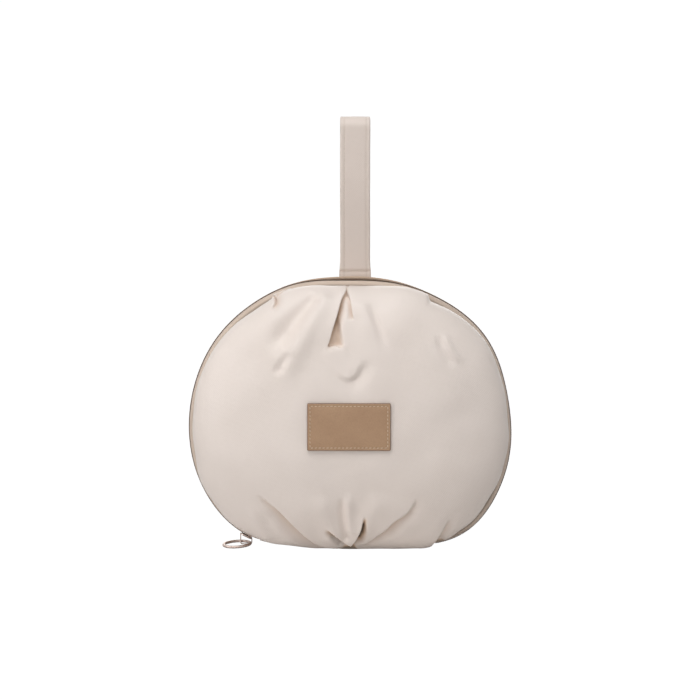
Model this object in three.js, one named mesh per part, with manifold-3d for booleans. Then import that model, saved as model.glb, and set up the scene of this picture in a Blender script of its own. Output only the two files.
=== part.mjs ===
// A soft zipped clamshell storage bag with a wrist loop, standing on its own flattened bottom.
// Two puffed, gathered cloth panels face each other across a zip that runs round the rim.
// Millimetres. +X to the right as seen from the front, +Y from front to back, +Z up.
// The origin is at the bottom centre, where the bag rests.
import * as THREE from "three";
import { mergeVertices } from "three/addons/utils/BufferGeometryUtils.js";
import Module from "manifold-3d";

const wasm = await Module();
wasm.setup();

// ---------------------------------------------------------------- driving dimensions
const RIM_CENTRE_Z = 82; // height of the point that the rim's radii are measured from
const CLOTH_T = 1.8; // face cloth, padding and inner cloth together
const SEAM_N = -5.0; // where the panels are sewn, inwards from the rim's outline
const SEAM_Y = 8.4; // how far in front of and behind the zip's centre the panels start
const PUFF_DEG = 12; // how far up the panel's profile its widest outline lies
const PUFF_LOW_DEG = 7; // the same underneath, where the bag stands
const PROFILE_P = 2.7; // squareness of the panels seen from the front
const PROFILE_LOW_P = 2.2; // the same underneath
const PROFILE_Q = 2.1; // squareness of the panels seen from the side
const FRONT_DEPTH = 39.7; // how far the front panel stands out from its seam
const BACK_DEPTH = 41.3; // the same at the back
const SAG_SHARE = 0.06; // the bag is fuller below its middle by this share
const STRAP_W = 20; // width of the wrist loop
const STRAP_T = 1.7; // thickness of one of its two legs
const STRAP_X = 3.4; // the wrist loop stands a little to the right of the middle
const STRAP_Y = 9.3; // depth at which it is sewn in
const STRAP_FOOT_Z = 177.3;
const STRAP_JOIN_Z = 185; // where its two legs part
const STRAP_TOP_Z = 286.4;
const STRAP_GAP = 11; // widest gap between its legs
const LABEL_W = 54.4;
const LABEL_H = 31;
const LABEL_X = -0.7; // place of the label's middle
const LABEL_Z = 85.7;
const LABEL_T = 1.3;
const CLEAR = 0.3; // gap left between pieces that touch
const TAPE_T = 1.2; // thickness of the zip's tapes
const STRAP_LIFT = 2.1; // how far the sewn-in strap lifts the back of the rim
const STRAP_LIFT_DEG = 18; // spread of that lift round the rim
const ZIP_START_DEG = 305; // the zip's chain runs from here, at the lower right,
const SLIDER_DEG = 227.5; // over the top to the slider, at the lower left
const HINGE_START_DEG = 232.5; // the cloth hinge closes the rest of the rim, underneath
const RING_R = 8.9; // pull ring, to the middle of its wire
const RING_WIRE_R = 0.95;

// Radius of the rim's outline from its centre, by angle from the horizontal, the same on both
// sides but for skew: how much further out the right is than that, and how much less the left.
const RIM_STATIONS = [
  { angle_deg: -90, radius: 82.3, skew: 0 },
  { angle_deg: -75, radius: 84.9, skew: 0 },
  { angle_deg: -60, radius: 94.6, skew: 0.3 },
  { angle_deg: -45, radius: 104.8, skew: 1.3 },
  { angle_deg: -30, radius: 108.3, skew: 1.2 },
  { angle_deg: -15, radius: 108.8, skew: 0.6 },
  { angle_deg: 0, radius: 108.0, skew: 0 },
  { angle_deg: 15, radius: 107.4, skew: 0 },
  { angle_deg: 30, radius: 107.4, skew: 0.8 },
  { angle_deg: 45, radius: 105.3, skew: 0.6 },
  { angle_deg: 60, radius: 102.4, skew: -0.2 },
  { angle_deg: 75, radius: 99.3, skew: -0.3 },
  { angle_deg: 90, radius: 96.9, skew: 0 },
];

// How far inside the rim's outline each panel's own outline lies, going round anticlockwise
// from the right. It is nearly nothing where gathered cloth puffs out over the zip.
const FRONT_EDGE = [
  { angle_deg: 0, inset: -2.8 },
  { angle_deg: 15, inset: -2.1 },
  { angle_deg: 35, inset: -2.0 },
  { angle_deg: 50, inset: -3.0 },
  { angle_deg: 58, inset: -3.6 },
  { angle_deg: 63, inset: -0.4 },
  { angle_deg: 75, inset: -2.2 },
  { angle_deg: 90, inset: -4.0 },
  { angle_deg: 105, inset: -2.8 },
  { angle_deg: 118, inset: -1.6 },
  { angle_deg: 124, inset: -3.2 },
  { angle_deg: 136, inset: -3.0 },
  { angle_deg: 150, inset: -2.4 },
  { angle_deg: 165, inset: -2.6 },
  { angle_deg: 180, inset: -3.4 },
  { angle_deg: 190, inset: -3.6 },
  { angle_deg: 200, inset: -2.6 },
  { angle_deg: 215, inset: -3.2 },
  { angle_deg: 228, inset: -3.7 },
  { angle_deg: 240, inset: -2.4 },
  { angle_deg: 256, inset: -0.2 },
  { angle_deg: 288, inset: 0 },
  { angle_deg: 300, inset: -0.6 },
  { angle_deg: 306, inset: -2.9 },
  { angle_deg: 316, inset: -5.2 },
  { angle_deg: 330, inset: -5.2 },
  { angle_deg: 345, inset: -4.2 },
];
const BACK_EDGE = [
  { angle_deg: 0, inset: -2.0 },
  { angle_deg: 45, inset: -2.4 },
  { angle_deg: 62, inset: -1.2 },
  { angle_deg: 90, inset: -3.6 },
  { angle_deg: 118, inset: -1.2 },
  { angle_deg: 135, inset: -2.4 },
  { angle_deg: 180, inset: -2.0 },
  { angle_deg: 225, inset: -1.4 },
  { angle_deg: 270, inset: 0 },
  { angle_deg: 315, inset: -1.4 },
];

// Folds that run from the gathers at the top and bottom centre. Each is a groove from
// (x0, z0) to (x1, z1) as seen from the front, half as wide as w0 and w1 say, and depth
// deep; a negative depth is a ridge. head is the share of the depth at its start.
const FRONT_FOLDS = [
  { name: "top_pleat", x0: -1.7, z0: 174.5, x1: -8.5, z1: 142, w0: 2, w1: 6, depth: 3.6, head: 0.5 },
  { name: "left_valley", x0: -19.6, z0: 172, x1: -51.6, z1: 134, w0: 5, w1: 8, depth: 2.8, head: 0.3 },
  { name: "left_valley_low", x0: -40, z0: 131, x1: -50, z1: 118, w0: 4, w1: 5, depth: 1.3, head: 0.2 },
  { name: "left_ridge", x0: -16, z0: 174, x1: -47, z1: 117, w0: 7, w1: 12, depth: -2.0, head: 0.4 },
  { name: "right_crease", x0: 13.8, z0: 161, x1: 23.4, z1: 137, w0: 4, w1: 5, depth: 1.7, head: 0.4 },
  { name: "far_right_crease", x0: 61.8, z0: 145, x1: 72.9, z1: 125, w0: 4, w1: 5, depth: 1.0, head: 0.2 },
  { name: "upper_left_pleat", x0: -51, z0: 168.5, x1: -50, z1: 160, w0: 3, w1: 4, depth: 1.3, head: 1 },
  { name: "bottom_left_fold", x0: -15, z0: 1, x1: -60, z1: 38, w0: 8, w1: 3, depth: 5.0, head: 0.6 },
  { name: "bottom_right_fold", x0: 12, z0: 2, x1: 43, z1: 35, w0: 7, w1: 3, depth: 4.0, head: 0.6 },
  { name: "bottom_centre", x0: -1, z0: 3, x1: -5, z1: 36, w0: 4, w1: 3, depth: 2.2, head: 1 },
  { name: "lower_right_pleat", x0: 57, z0: 3, x1: 65, z1: 20, w0: 4, w1: 3, depth: 1.6, head: 1 },
];
const BACK_FOLDS = [
  { name: "top_pleat", x0: 0, z0: 177, x1: 7, z1: 146, w0: 2, w1: 6, depth: 3.2, head: 0.5 },
  { name: "top_left", x0: -18, z0: 174, x1: -45, z1: 138, w0: 5, w1: 7, depth: 2.2, head: 0.3 },
  { name: "top_right", x0: 20, z0: 173, x1: 49, z1: 140, w0: 5, w1: 7, depth: 2.4, head: 0.3 },
  { name: "bottom_left", x0: -16, z0: 2, x1: -52, z1: 38, w0: 7, w1: 3, depth: 4.0, head: 0.6 },
  { name: "bottom_right", x0: 18, z0: 2, x1: 55, z1: 40, w0: 7, w1: 3, depth: 4.0, head: 0.6 },
  { name: "bottom_centre", x0: 1, z0: 3, x1: 3, z1: 32, w0: 4, w1: 3, depth: 2.2, head: 1 },
];

// Heights up a panel's profile at which it is divided, as angles: 0 at the seam, 90 at the middle.
const FRONT_RINGS_DEG = [0, 5, 12, 20, 30, 41, 52, 62, 70, 77, 83, 87.5];
const BACK_RINGS_DEG = [0, 6, 12, 22, 35, 49, 62, 73, 82];

// ---------------------------------------------------------------- small helpers
const rad = THREE.MathUtils.degToRad;
const smooth = (a, b, t) => THREE.MathUtils.smoothstep(t, a, b);

// The rim's radii as a cosine series through the stations, so that the outline has no corners.
const STEPS = RIM_STATIONS.length - 1;
const cosineSeries = (column) =>
  RIM_STATIONS.map((_, m) => {
    let sum = 0;
    RIM_STATIONS.forEach((s, k) => {
      const end = k === 0 || k === STEPS ? 0.5 : 1;
      sum += end * s[column] * Math.cos((Math.PI * m * k) / STEPS);
    });
    return (sum * 2) / STEPS / (m === 0 || m === STEPS ? 2 : 1);
  });
const RADIUS_SERIES = cosineSeries("radius");
const SKEW_SERIES = cosineSeries("skew");

function rimPoint(deg) {
  const a = rad(deg);
  const up = Math.asin(Math.sin(a)) + Math.PI / 2; // 0 at the bottom, pi at the top, on both sides
  const side = Math.sign(Math.cos(a));
  let r = 0;
  RADIUS_SERIES.forEach((c, m) => (r += (c + side * SKEW_SERIES[m]) * Math.cos(m * up)));
  return new THREE.Vector2(r * Math.cos(a), RIM_CENTRE_Z + r * Math.sin(a));
}

// The rim's outline at an angle, and its outward direction there.
function rim(deg) {
  const p = rimPoint(deg);
  const along = rimPoint(deg + 0.05).sub(rimPoint(deg - 0.05)).normalize();
  return { p, out: new THREE.Vector2(along.y, -along.x), along };
}

// A table's inset at an angle, eased from row to row, going round.
function insetAt(table, deg) {
  const d = ((deg % 360) + 360) % 360;
  let i = table.length - 1;
  while (i > 0 && table[i].angle_deg > d) i--;
  const a = table[i];
  const b = table[(i + 1) % table.length];
  const span = (b.angle_deg - a.angle_deg + 360) % 360;
  const t = smooth(0, 1, (d - a.angle_deg) / span);
  return a.inset + (b.inset - a.inset) * t;
}

function strapLift(deg) {
  const d = (((deg % 360) + 360) % 360) - 88;
  return STRAP_LIFT * Math.exp(-((d / STRAP_LIFT_DEG) ** 2));
}

// How far the folds push the cloth in at a point seen from the front.
function foldDepth(folds, x, z) {
  let sum = 0;
  for (const f of folds) {
    const ux = f.x1 - f.x0;
    const uz = f.z1 - f.z0;
    const t = THREE.MathUtils.clamp(
      ((x - f.x0) * ux + (z - f.z0) * uz) / (ux * ux + uz * uz),
      0,
      1,
    );
    const away = Math.hypot(x - f.x0 - t * ux, z - f.z0 - t * uz);
    const w = f.w0 + (f.w1 - f.w0) * t;
    const along = (f.head + (1 - f.head) * smooth(0, 0.45, t)) * (1 - smooth(0.55, 1, t));
    sum += f.depth * along * Math.exp(-((away / w) ** 2));
  }
  return sum;
}

// ---------------------------------------------------------------- the puffed panels
const FRONT = { side: -1, edge: FRONT_EDGE, folds: FRONT_FOLDS, depth: FRONT_DEPTH, lift: () => 0 };
const BACK = { side: 1, edge: BACK_EDGE, folds: BACK_FOLDS, depth: BACK_DEPTH, lift: strapLift };

// A panel's smooth surface, before its folds and before the floor flattens it.
function puffed(panel, deg, upDeg) {
  const { p, out } = rim(deg);
  const lift = panel.lift(deg);
  const seam = p.clone().addScaledVector(out, SEAM_N + lift);
  const widest = p.clone().addScaledVector(out, insetAt(panel.edge, deg) + lift);
  const centre = new THREE.Vector2(0, RIM_CENTRE_Z);
  const low = smooth(0.3, 1, -Math.sin(rad(deg)));
  const puffDeg = PUFF_DEG + (PUFF_LOW_DEG - PUFF_DEG) * low;
  const power = PROFILE_P + (PROFILE_LOW_P - PROFILE_P) * low;
  let q;
  if (upDeg <= puffDeg) q = seam.lerp(widest, Math.sin(((upDeg / puffDeg) * Math.PI) / 2));
  else {
    const share = Math.cos((((upDeg - puffDeg) / (90 - puffDeg)) * Math.PI) / 2);
    q = centre.lerp(widest, Math.max(0, share) ** (2 / power));
  }
  const full = panel.depth * (1 - (SAG_SHARE * (q.y - RIM_CENTRE_Z)) / 95);
  const y = SEAM_Y + full * Math.sin(rad(upDeg)) ** (2 / PROFILE_Q);
  return new THREE.Vector3(q.x, panel.side * y, q.y);
}

function puffedNormal(panel, deg, upDeg) {
  const u = Math.min(Math.max(upDeg, 0.5), 88);
  const a = puffed(panel, deg + 0.4, u).sub(puffed(panel, deg - 0.4, u));
  const b = puffed(panel, deg, u + 0.4).sub(puffed(panel, deg, u - 0.4));
  return a.cross(b).normalize().multiplyScalar(-panel.side);
}

// Outer and inner points of a panel's cloth, pressed flat where the bag stands.
function clothPoints(panel, deg, upDeg) {
  const base = puffed(panel, deg, upDeg);
  const normal = upDeg >= 90 ? new THREE.Vector3(0, panel.side, 0) : puffedNormal(panel, deg, upDeg);
  const push = foldDepth(panel.folds, base.x, base.z) * smooth(0, 12, upDeg);
  const outer = base.clone().addScaledVector(normal, -push);
  const inner = outer.clone().addScaledVector(normal, -CLOTH_T);
  const nearest = SEAM_Y + (upDeg === 0 ? 0 : 0.01);
  inner.y = panel.side * Math.max(panel.side * inner.y, nearest);
  outer.z = Math.max(outer.z, 0);
  inner.z = Math.max(inner.z, CLOTH_T);
  return { outer, inner };
}

// Angles round the rim, closer together at the gathers.
function roundTheRim() {
  const list = [];
  for (let d = 60; d < 120; d += 3) list.push(d);
  for (let d = 120; d < 240; d += 7.5) list.push(d);
  for (let d = 240; d < 300; d += 3) list.push(d);
  for (let d = 300; d < 420; d += 7.5) list.push(d);
  return list;
}
const ROUND = roundTheRim();

// A closed surface from rows of points: each row is a loop, and both ends are closed.
function geometryFrom(positions, triangles) {
  const g = new THREE.BufferGeometry();
  g.setAttribute("position", new THREE.Float32BufferAttribute(positions.flatMap((v) => v.toArray()), 3));
  g.setIndex(triangles.flat());
  return g;
}

function panelGeometry(panel, ringsDeg) {
  const pts = [];
  const tris = [];
  const n = ROUND.length;
  const m = ringsDeg.length;
  const id = (layer, ring, k) => layer * (m * n + 1) + ring * n + (k % n);
  const pole = (layer) => layer * (m * n + 1) + m * n;
  for (const layer of ["outer", "inner"]) {
    for (const up of ringsDeg) for (const deg of ROUND) pts.push(clothPoints(panel, deg, up)[layer]);
    pts.push(clothPoints(panel, 90, 90)[layer]);
  }
  const face = (a, b, c, flip) => tris.push(flip ? [a, c, b] : [a, b, c]);
  for (const layer of [0, 1]) {
    const flip = (layer === 0) === (panel.side < 0);
    for (let j = 0; j < m - 1; j++)
      for (let k = 0; k < n; k++) {
        face(id(layer, j, k), id(layer, j + 1, k + 1), id(layer, j, k + 1), flip);
        face(id(layer, j, k), id(layer, j + 1, k), id(layer, j + 1, k + 1), flip);
      }
    for (let k = 0; k < n; k++) face(id(layer, m - 1, k), pole(layer), id(layer, m - 1, k + 1), flip);
  }
  const flip = panel.side < 0;
  for (let k = 0; k < n; k++) {
    face(id(0, 0, k), id(0, 0, k + 1), id(1, 0, k + 1), flip);
    face(id(0, 0, k), id(1, 0, k + 1), id(1, 0, k), flip);
  }
  return geometryFrom(pts, tris);
}

// ---------------------------------------------------------------- strips that follow the rim
// profile(deg) gives the section's corners as [outward, y]; open strips get flat ends.
function stripGeometry(degs, profile, floor) {
  const rows = degs.map((deg) => {
    const { p, out } = rim(deg);
    return profile(deg).map(([n, y, level]) => {
      const v = new THREE.Vector3(p.x + out.x * n, y, p.y + out.y * n);
      v.z = Math.max(v.z, floor + (level || 0));
      return v;
    });
  });
  const c = rows[0].length;
  const tris = [];
  for (let i = 0; i < rows.length - 1; i++)
    for (let k = 0; k < c; k++) {
      const a = i * c + k;
      const b = i * c + ((k + 1) % c);
      tris.push([a, b, b + c], [a, b + c, a + c]);
    }
  const last = (rows.length - 1) * c;
  const half = c / 2; // corners run out along the outside, then back along the inside
  for (let k = 0; k < half - 1; k++) {
    const [a, b, d, e] = [k, k + 1, c - 2 - k, c - 1 - k];
    tris.push([a, e, b], [b, e, d]);
    tris.push([last + a, last + b, last + e], [last + b, last + d, last + e]);
  }
  return geometryFrom(rows.flat(), tris);
}

// Outer line of the zip's tapes, from beside the chain to the panels' seams.
const TAPE_LINE = [
  { n: -0.3, y: 1.9 },
  { n: -1.5, y: 5.0 },
  { n: -4.8, y: 8.0 },
];
const tapeProfile = (side) => (deg) => {
  const lift = side > 0 ? strapLift(deg) : 0;
  const outer = TAPE_LINE.map((c, i) => [c.n + lift * (i === 0 ? 0.75 : 1), side * c.y]);
  const inner = outer.map(([n, y]) => [n - TAPE_T, y]).reverse();
  const loop = [...outer, ...inner];
  return side > 0 ? loop : loop.reverse();
};
const chainProfile = () => [
  [-0.9, -1.5],
  [-0.9, 1.5],
  [-2.3, 1.5],
  [-2.3, -1.5],
];
const zipRange = (from, to) => {
  const list = [...ROUND.map((d) => d - 360), ...ROUND].filter((d) => d > from + 1.2 && d < to - 1.2);
  return [from, ...list, to];
};
const SPAN_FROM = ZIP_START_DEG - 360;
const tapeDegs = zipRange(SPAN_FROM, HINGE_START_DEG - 0.35);
const chainDegs = zipRange(SPAN_FROM, SLIDER_DEG - 1.2);

// The cloth hinge under the bag: one strip from tape end to tape end, flat where it stands.
function hingeGeometry() {
  const lines = [...TAPE_LINE].reverse().map((c) => [c.n, -c.y]).concat(TAPE_LINE.map((c) => [c.n, c.y]));
  const profile = () => {
    const outer = lines.map(([n, y]) => [n, y, 0]);
    const inner = lines.map(([n, y]) => [n - TAPE_T, y, TAPE_T]).reverse();
    return [...outer, ...inner];
  };
  const from = HINGE_START_DEG;
  const to = ZIP_START_DEG - 0.35;
  const degs = [from, 235.5, 238.5, 241.5, 244, 247, 251, 256, 262, 278, 284, 289, 293, 296, 299, 302, to];
  return stripGeometry(degs, profile, 0);
}

// ---------------------------------------------------------------- label
// The angles of the front panel's surface that lie at (x, z), by Newton's method.
function frontSurface(x, z) {
  let deg = THREE.MathUtils.radToDeg(Math.atan2(z - RIM_CENTRE_Z, x));
  let up = 80;
  for (let i = 0; i < 60; i++) {
    const q = puffed(FRONT, deg, up);
    const ex = x - q.x;
    const ez = z - q.z;
    if (Math.hypot(ex, ez) < 1e-4) break;
    const a = puffed(FRONT, deg + 0.1, up).sub(q).multiplyScalar(10);
    const b = puffed(FRONT, deg, up - 0.1).sub(q).multiplyScalar(-10);
    const det = a.x * b.z - a.z * b.x;
    deg += THREE.MathUtils.clamp((ex * b.z - ez * b.x) / det, -15, 15);
    up += THREE.MathUtils.clamp((a.x * ez - a.z * ex) / det, -6, 6);
    up = THREE.MathUtils.clamp(up, 20, 89.9);
  }
  return puffed(FRONT, deg, up).y;
}

function labelGeometry() {
  const nx = 10;
  const nz = 6;
  const pts = [];
  for (const lift of [CLEAR + 0.1 + LABEL_T, CLEAR + 0.1])
    for (let j = 0; j <= nz; j++)
      for (let i = 0; i <= nx; i++) {
        const x = LABEL_X + (i / nx - 0.5) * LABEL_W;
        const z = LABEL_Z + (j / nz - 0.5) * LABEL_H;
        pts.push(new THREE.Vector3(x, frontSurface(x, z + 0.01) - lift, z));
      }
  const id = (layer, i, j) => layer * (nx + 1) * (nz + 1) + j * (nx + 1) + i;
  const tris = [];
  for (let j = 0; j < nz; j++)
    for (let i = 0; i < nx; i++) {
      tris.push([id(0, i, j), id(0, i + 1, j), id(0, i + 1, j + 1)], [id(0, i, j), id(0, i + 1, j + 1), id(0, i, j + 1)]);
      tris.push([id(1, i, j), id(1, i + 1, j + 1), id(1, i + 1, j)], [id(1, i, j), id(1, i, j + 1), id(1, i + 1, j + 1)]);
    }
  for (let i = 0; i < nx; i++) {
    tris.push([id(0, i, 0), id(1, i, 0), id(1, i + 1, 0)], [id(0, i, 0), id(1, i + 1, 0), id(0, i + 1, 0)]);
    tris.push([id(0, i, nz), id(1, i + 1, nz), id(1, i, nz)], [id(0, i, nz), id(0, i + 1, nz), id(1, i + 1, nz)]);
  }
  for (let j = 0; j < nz; j++) {
    tris.push([id(0, 0, j), id(1, 0, j + 1), id(1, 0, j)], [id(0, 0, j), id(0, 0, j + 1), id(1, 0, j + 1)]);
    tris.push([id(0, nx, j), id(1, nx, j), id(1, nx, j + 1)], [id(0, nx, j), id(1, nx, j + 1), id(0, nx, j + 1)]);
  }
  return geometryFrom(pts, tris);
}

// ---------------------------------------------------------------- wrist loop
// A band folded double: its section in depth and height, drawn out across its width.
function strapGeometry() {
  const gap = (z) => (STRAP_GAP / 2) * smooth(STRAP_JOIN_Z, STRAP_JOIN_Z + 62, z);
  const r = STRAP_GAP / 2;
  const bendZ = STRAP_TOP_Z - STRAP_T - r;
  const outer = new THREE.Shape();
  const hole = new THREE.Path();
  const zs = [];
  for (let i = 1; i <= 10; i++) zs.push(STRAP_JOIN_Z + ((bendZ - STRAP_JOIN_Z) * i) / 10);
  outer.moveTo(STRAP_Y - STRAP_T, STRAP_FOOT_Z);
  outer.lineTo(STRAP_Y + STRAP_T, STRAP_FOOT_Z);
  outer.lineTo(STRAP_Y + STRAP_T, STRAP_JOIN_Z);
  for (const z of zs) outer.lineTo(STRAP_Y + STRAP_T + gap(z), z);
  for (let i = 1; i < 12; i++) {
    const a = (Math.PI * i) / 12;
    outer.lineTo(STRAP_Y + (r + STRAP_T) * Math.cos(a), bendZ + (r + STRAP_T) * Math.sin(a));
  }
  for (const z of [...zs].reverse()) outer.lineTo(STRAP_Y - STRAP_T - gap(z), z);
  outer.lineTo(STRAP_Y - STRAP_T, STRAP_JOIN_Z);
  outer.closePath();
  const start = STRAP_JOIN_Z + 2.5;
  hole.moveTo(STRAP_Y, start);
  const inner = zs.filter((z) => z > start + 3);
  for (const z of inner) hole.lineTo(STRAP_Y + gap(z), z);
  for (let i = 1; i < 12; i++) {
    const a = (Math.PI * i) / 12;
    hole.lineTo(STRAP_Y + r * Math.cos(a), bendZ + r * Math.sin(a));
  }
  for (const z of [...inner].reverse()) hole.lineTo(STRAP_Y - gap(z), z);
  hole.closePath();
  outer.holes.push(hole);
  const g = new THREE.ExtrudeGeometry(outer, { depth: STRAP_W, bevelEnabled: false, curveSegments: 4 });
  g.translate(0, 0, -STRAP_W / 2);
  g.applyMatrix4(
    new THREE.Matrix4().makeBasis(new THREE.Vector3(0, 1, 0), new THREE.Vector3(0, 0, 1), new THREE.Vector3(1, 0, 0)),
  );
  g.translate(STRAP_X, 0, 0);
  return g;
}

// ---------------------------------------------------------------- slider and pull ring
// The slider's own axes: local X along the zip towards the hinge, local Y across it, local Z outwards.
const SLIDER = { half: 4.0, wide: 3.2, topLow: -0.15, topHigh: 0.85, keelLow: -4.05, keelHigh: -3.1 };
const ARCH = { half: 4.1, t: 0.7, wide: 0.55, under: 0.4 }; // under: clearance below the ring's wire
const PIVOT = { x: -69.6, z: 2.45 }; // the ring's wire bears here, in the arch
const RING_YAW_DEG = 48; // the ring lies this far round towards the front

function solid(geometry) {
  const g = geometry.clone();
  g.deleteAttribute("normal");
  g.deleteAttribute("uv");
  const m = mergeVertices(g, 1e-4);
  return new wasm.Manifold(
    new wasm.Mesh({
      numProp: 3,
      vertProperties: new Float32Array(m.attributes.position.array),
      triVerts: new Uint32Array(m.index.array),
    }),
  );
}

function fromSolid(s) {
  const m = s.getMesh();
  const g = new THREE.BufferGeometry();
  const v = new Float32Array(m.numVert * 3);
  for (let i = 0; i < m.numVert; i++) v.set(m.vertProperties.subarray(i * m.numProp, i * m.numProp + 3), i * 3);
  g.setAttribute("position", new THREE.BufferAttribute(v, 3));
  g.setIndex(new THREE.BufferAttribute(m.triVerts, 1));
  return g;
}

function plateGeometry(half, wide, low, high) {
  const s = new THREE.Shape();
  const nose = 1.5;
  s.moveTo(-half + nose, -wide);
  s.lineTo(half - nose, -wide * 0.86);
  s.lineTo(half, -wide * 0.4);
  s.lineTo(half, wide * 0.4);
  s.lineTo(half - nose, wide * 0.86);
  s.lineTo(-half + nose, wide);
  s.lineTo(-half, wide * 0.72);
  s.lineTo(-half, -wide * 0.72);
  s.closePath();
  const g = new THREE.ExtrudeGeometry(s, { depth: high - low, bevelEnabled: false });
  g.translate(0, 0, low);
  return g;
}

// The arch hangs straight down from the plate: two upright legs and a level bar under the wire.
function archGeometry(seat) {
  const { half, t, wide, under } = ARCH;
  const low = PIVOT.z - RING_WIRE_R - under - t;
  const plateZ = (x) => {
    const u = (x - seat.p.x - seat.out.x * SLIDER.topHigh) / seat.along.x;
    return seat.p.y + seat.out.y * (SLIDER.topHigh - 0.5) + seat.along.y * u;
  };
  const outline = [
    [-half, plateZ(PIVOT.x - half)],
    [-half, low + t],
    [-half + t, low],
    [half - t, low],
    [half, low + t],
    [half, plateZ(PIVOT.x + half)],
    [half - t, plateZ(PIVOT.x + half - t)],
    [half - t, low + t * 1.4],
    [half - t * 1.4, low + t],
    [-half + t * 1.4, low + t],
    [-half + t, low + t * 1.4],
    [-half + t, plateZ(PIVOT.x - half + t)],
  ];
  const s = new THREE.Shape(outline.map(([dx, z]) => new THREE.Vector2(PIVOT.x + dx, z)));
  const g = new THREE.ExtrudeGeometry(s, { depth: wide * 2, bevelEnabled: false });
  g.translate(0, 0, -wide);
  g.rotateX(Math.PI / 2); // the outline stands upright, in the plane of the zip
  return g;
}

function sliderGeometry(seat) {
  const along = new THREE.Vector3(seat.along.x, 0, seat.along.y);
  const out = new THREE.Vector3(seat.out.x, 0, seat.out.y);
  const place = new THREE.Matrix4().makeBasis(along, out.clone().cross(along), out).setPosition(seat.p.x, 0, seat.p.y);
  const top = plateGeometry(SLIDER.half, SLIDER.wide, SLIDER.topLow, SLIDER.topHigh).applyMatrix4(place);
  const keel = plateGeometry(SLIDER.half, SLIDER.wide, SLIDER.keelLow, SLIDER.keelHigh).applyMatrix4(place);
  const post = new THREE.BoxGeometry(2.4, 1.8, SLIDER.topLow - SLIDER.keelHigh + 0.6);
  post.translate(SLIDER.half - 1.9, 0, (SLIDER.topLow + SLIDER.keelHigh) / 2).applyMatrix4(place);
  return fromSolid(solid(top).add(solid(keel)).add(solid(post)).add(solid(archGeometry(seat))));
}

function ringGeometry() {
  const turns = 28;
  const corners = 8;
  const profile = [];
  for (let i = 0; i <= corners; i++) {
    const a = (2 * Math.PI * i) / corners;
    profile.push(new THREE.Vector2(RING_R + RING_WIRE_R * Math.cos(a), RING_WIRE_R * Math.sin(a)));
  }
  profile[corners].copy(profile[0]);
  const g = new THREE.LatheGeometry(profile, turns);
  g.rotateX(Math.PI / 2); // its axis becomes Z, so that it lies flat
  return g;
}

// ---------------------------------------------------------------- assembly
const CREAM = 0xe6dcd2;
const cloth = new THREE.MeshStandardMaterial({ color: CREAM, roughness: 0.55, metalness: 0 });
const strapCloth = new THREE.MeshStandardMaterial({ color: 0xd9cabd, roughness: 0.6, metalness: 0 });
const tapeCloth = new THREE.MeshStandardMaterial({ color: 0xc8ad90, roughness: 0.8, metalness: 0 });
const coil = new THREE.MeshStandardMaterial({ color: 0x8c7460, roughness: 0.5, metalness: 0 });
const leather = new THREE.MeshStandardMaterial({ color: 0xa88666, roughness: 0.5, metalness: 0 });
const metal = new THREE.MeshStandardMaterial({ color: 0xd8c4b6, roughness: 0.25, metalness: 1 });

const bag = new THREE.Group();
const add = (name, geometry, material, parent = bag) => {
  const mesh = new THREE.Mesh(geometry, material);
  mesh.name = name;
  parent.add(mesh);
  return mesh;
};

add("front_panel", panelGeometry(FRONT, FRONT_RINGS_DEG), cloth);
add("back_panel", panelGeometry(BACK, BACK_RINGS_DEG), cloth);
add("front_zip_tape", stripGeometry(tapeDegs, tapeProfile(-1), 0), tapeCloth);
add("back_zip_tape", stripGeometry(tapeDegs, tapeProfile(1), 0), tapeCloth);
add("zip_chain", stripGeometry(chainDegs, chainProfile, 0), coil);
add("base_hinge", hingeGeometry(), cloth);
add("label", labelGeometry(), leather);
add("wrist_loop", strapGeometry(), strapCloth);

add("slider", sliderGeometry(rim(SLIDER_DEG)), metal);

// The ring hangs in the arch and its far side lies on the surface that the bag stands on.
const droop = Math.asin((PIVOT.z - RING_WIRE_R) / (2 * RING_R));
const ring = add("pull_ring", ringGeometry(), metal);
ring.rotation.set(0, -droop, rad(RING_YAW_DEG), "ZYX");
ring.position.set(-RING_R, 0, 0).applyEuler(ring.rotation).add(new THREE.Vector3(PIVOT.x, 0, PIVOT.z));

export default bag;
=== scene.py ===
"""Looks of a soft, round zipped pouch: puffed and gathered cloth, woven zip tapes with a
coil chain, a stitched patch, a folded wrist loop, and a metal slider with its ring."""

import math
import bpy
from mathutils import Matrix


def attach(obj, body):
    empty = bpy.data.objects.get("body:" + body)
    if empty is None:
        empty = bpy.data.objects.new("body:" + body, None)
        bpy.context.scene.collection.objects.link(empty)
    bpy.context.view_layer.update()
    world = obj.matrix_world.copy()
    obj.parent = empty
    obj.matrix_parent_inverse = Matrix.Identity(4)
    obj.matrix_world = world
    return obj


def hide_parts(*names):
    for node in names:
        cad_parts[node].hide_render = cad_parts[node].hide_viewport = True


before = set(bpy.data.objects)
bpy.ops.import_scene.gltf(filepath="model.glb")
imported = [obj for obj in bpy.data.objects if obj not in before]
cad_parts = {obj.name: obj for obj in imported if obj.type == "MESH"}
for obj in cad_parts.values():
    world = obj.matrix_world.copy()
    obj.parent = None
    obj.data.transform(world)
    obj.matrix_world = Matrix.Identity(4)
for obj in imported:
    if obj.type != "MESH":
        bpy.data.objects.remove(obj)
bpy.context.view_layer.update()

import bpy
import numpy as np
from mathutils import Vector

MM = 0.001
RNG = np.random.default_rng(7)

# ------------------------------------------------------------------ camera
# The picture is 700 x 700. The focal length is 2850 of its pixels.
AIM = (0.0, 0.0, 0.1314)
CAMERA_DISTANCE = 1.9
CAMERA_UP_DEG = 5.5


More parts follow.
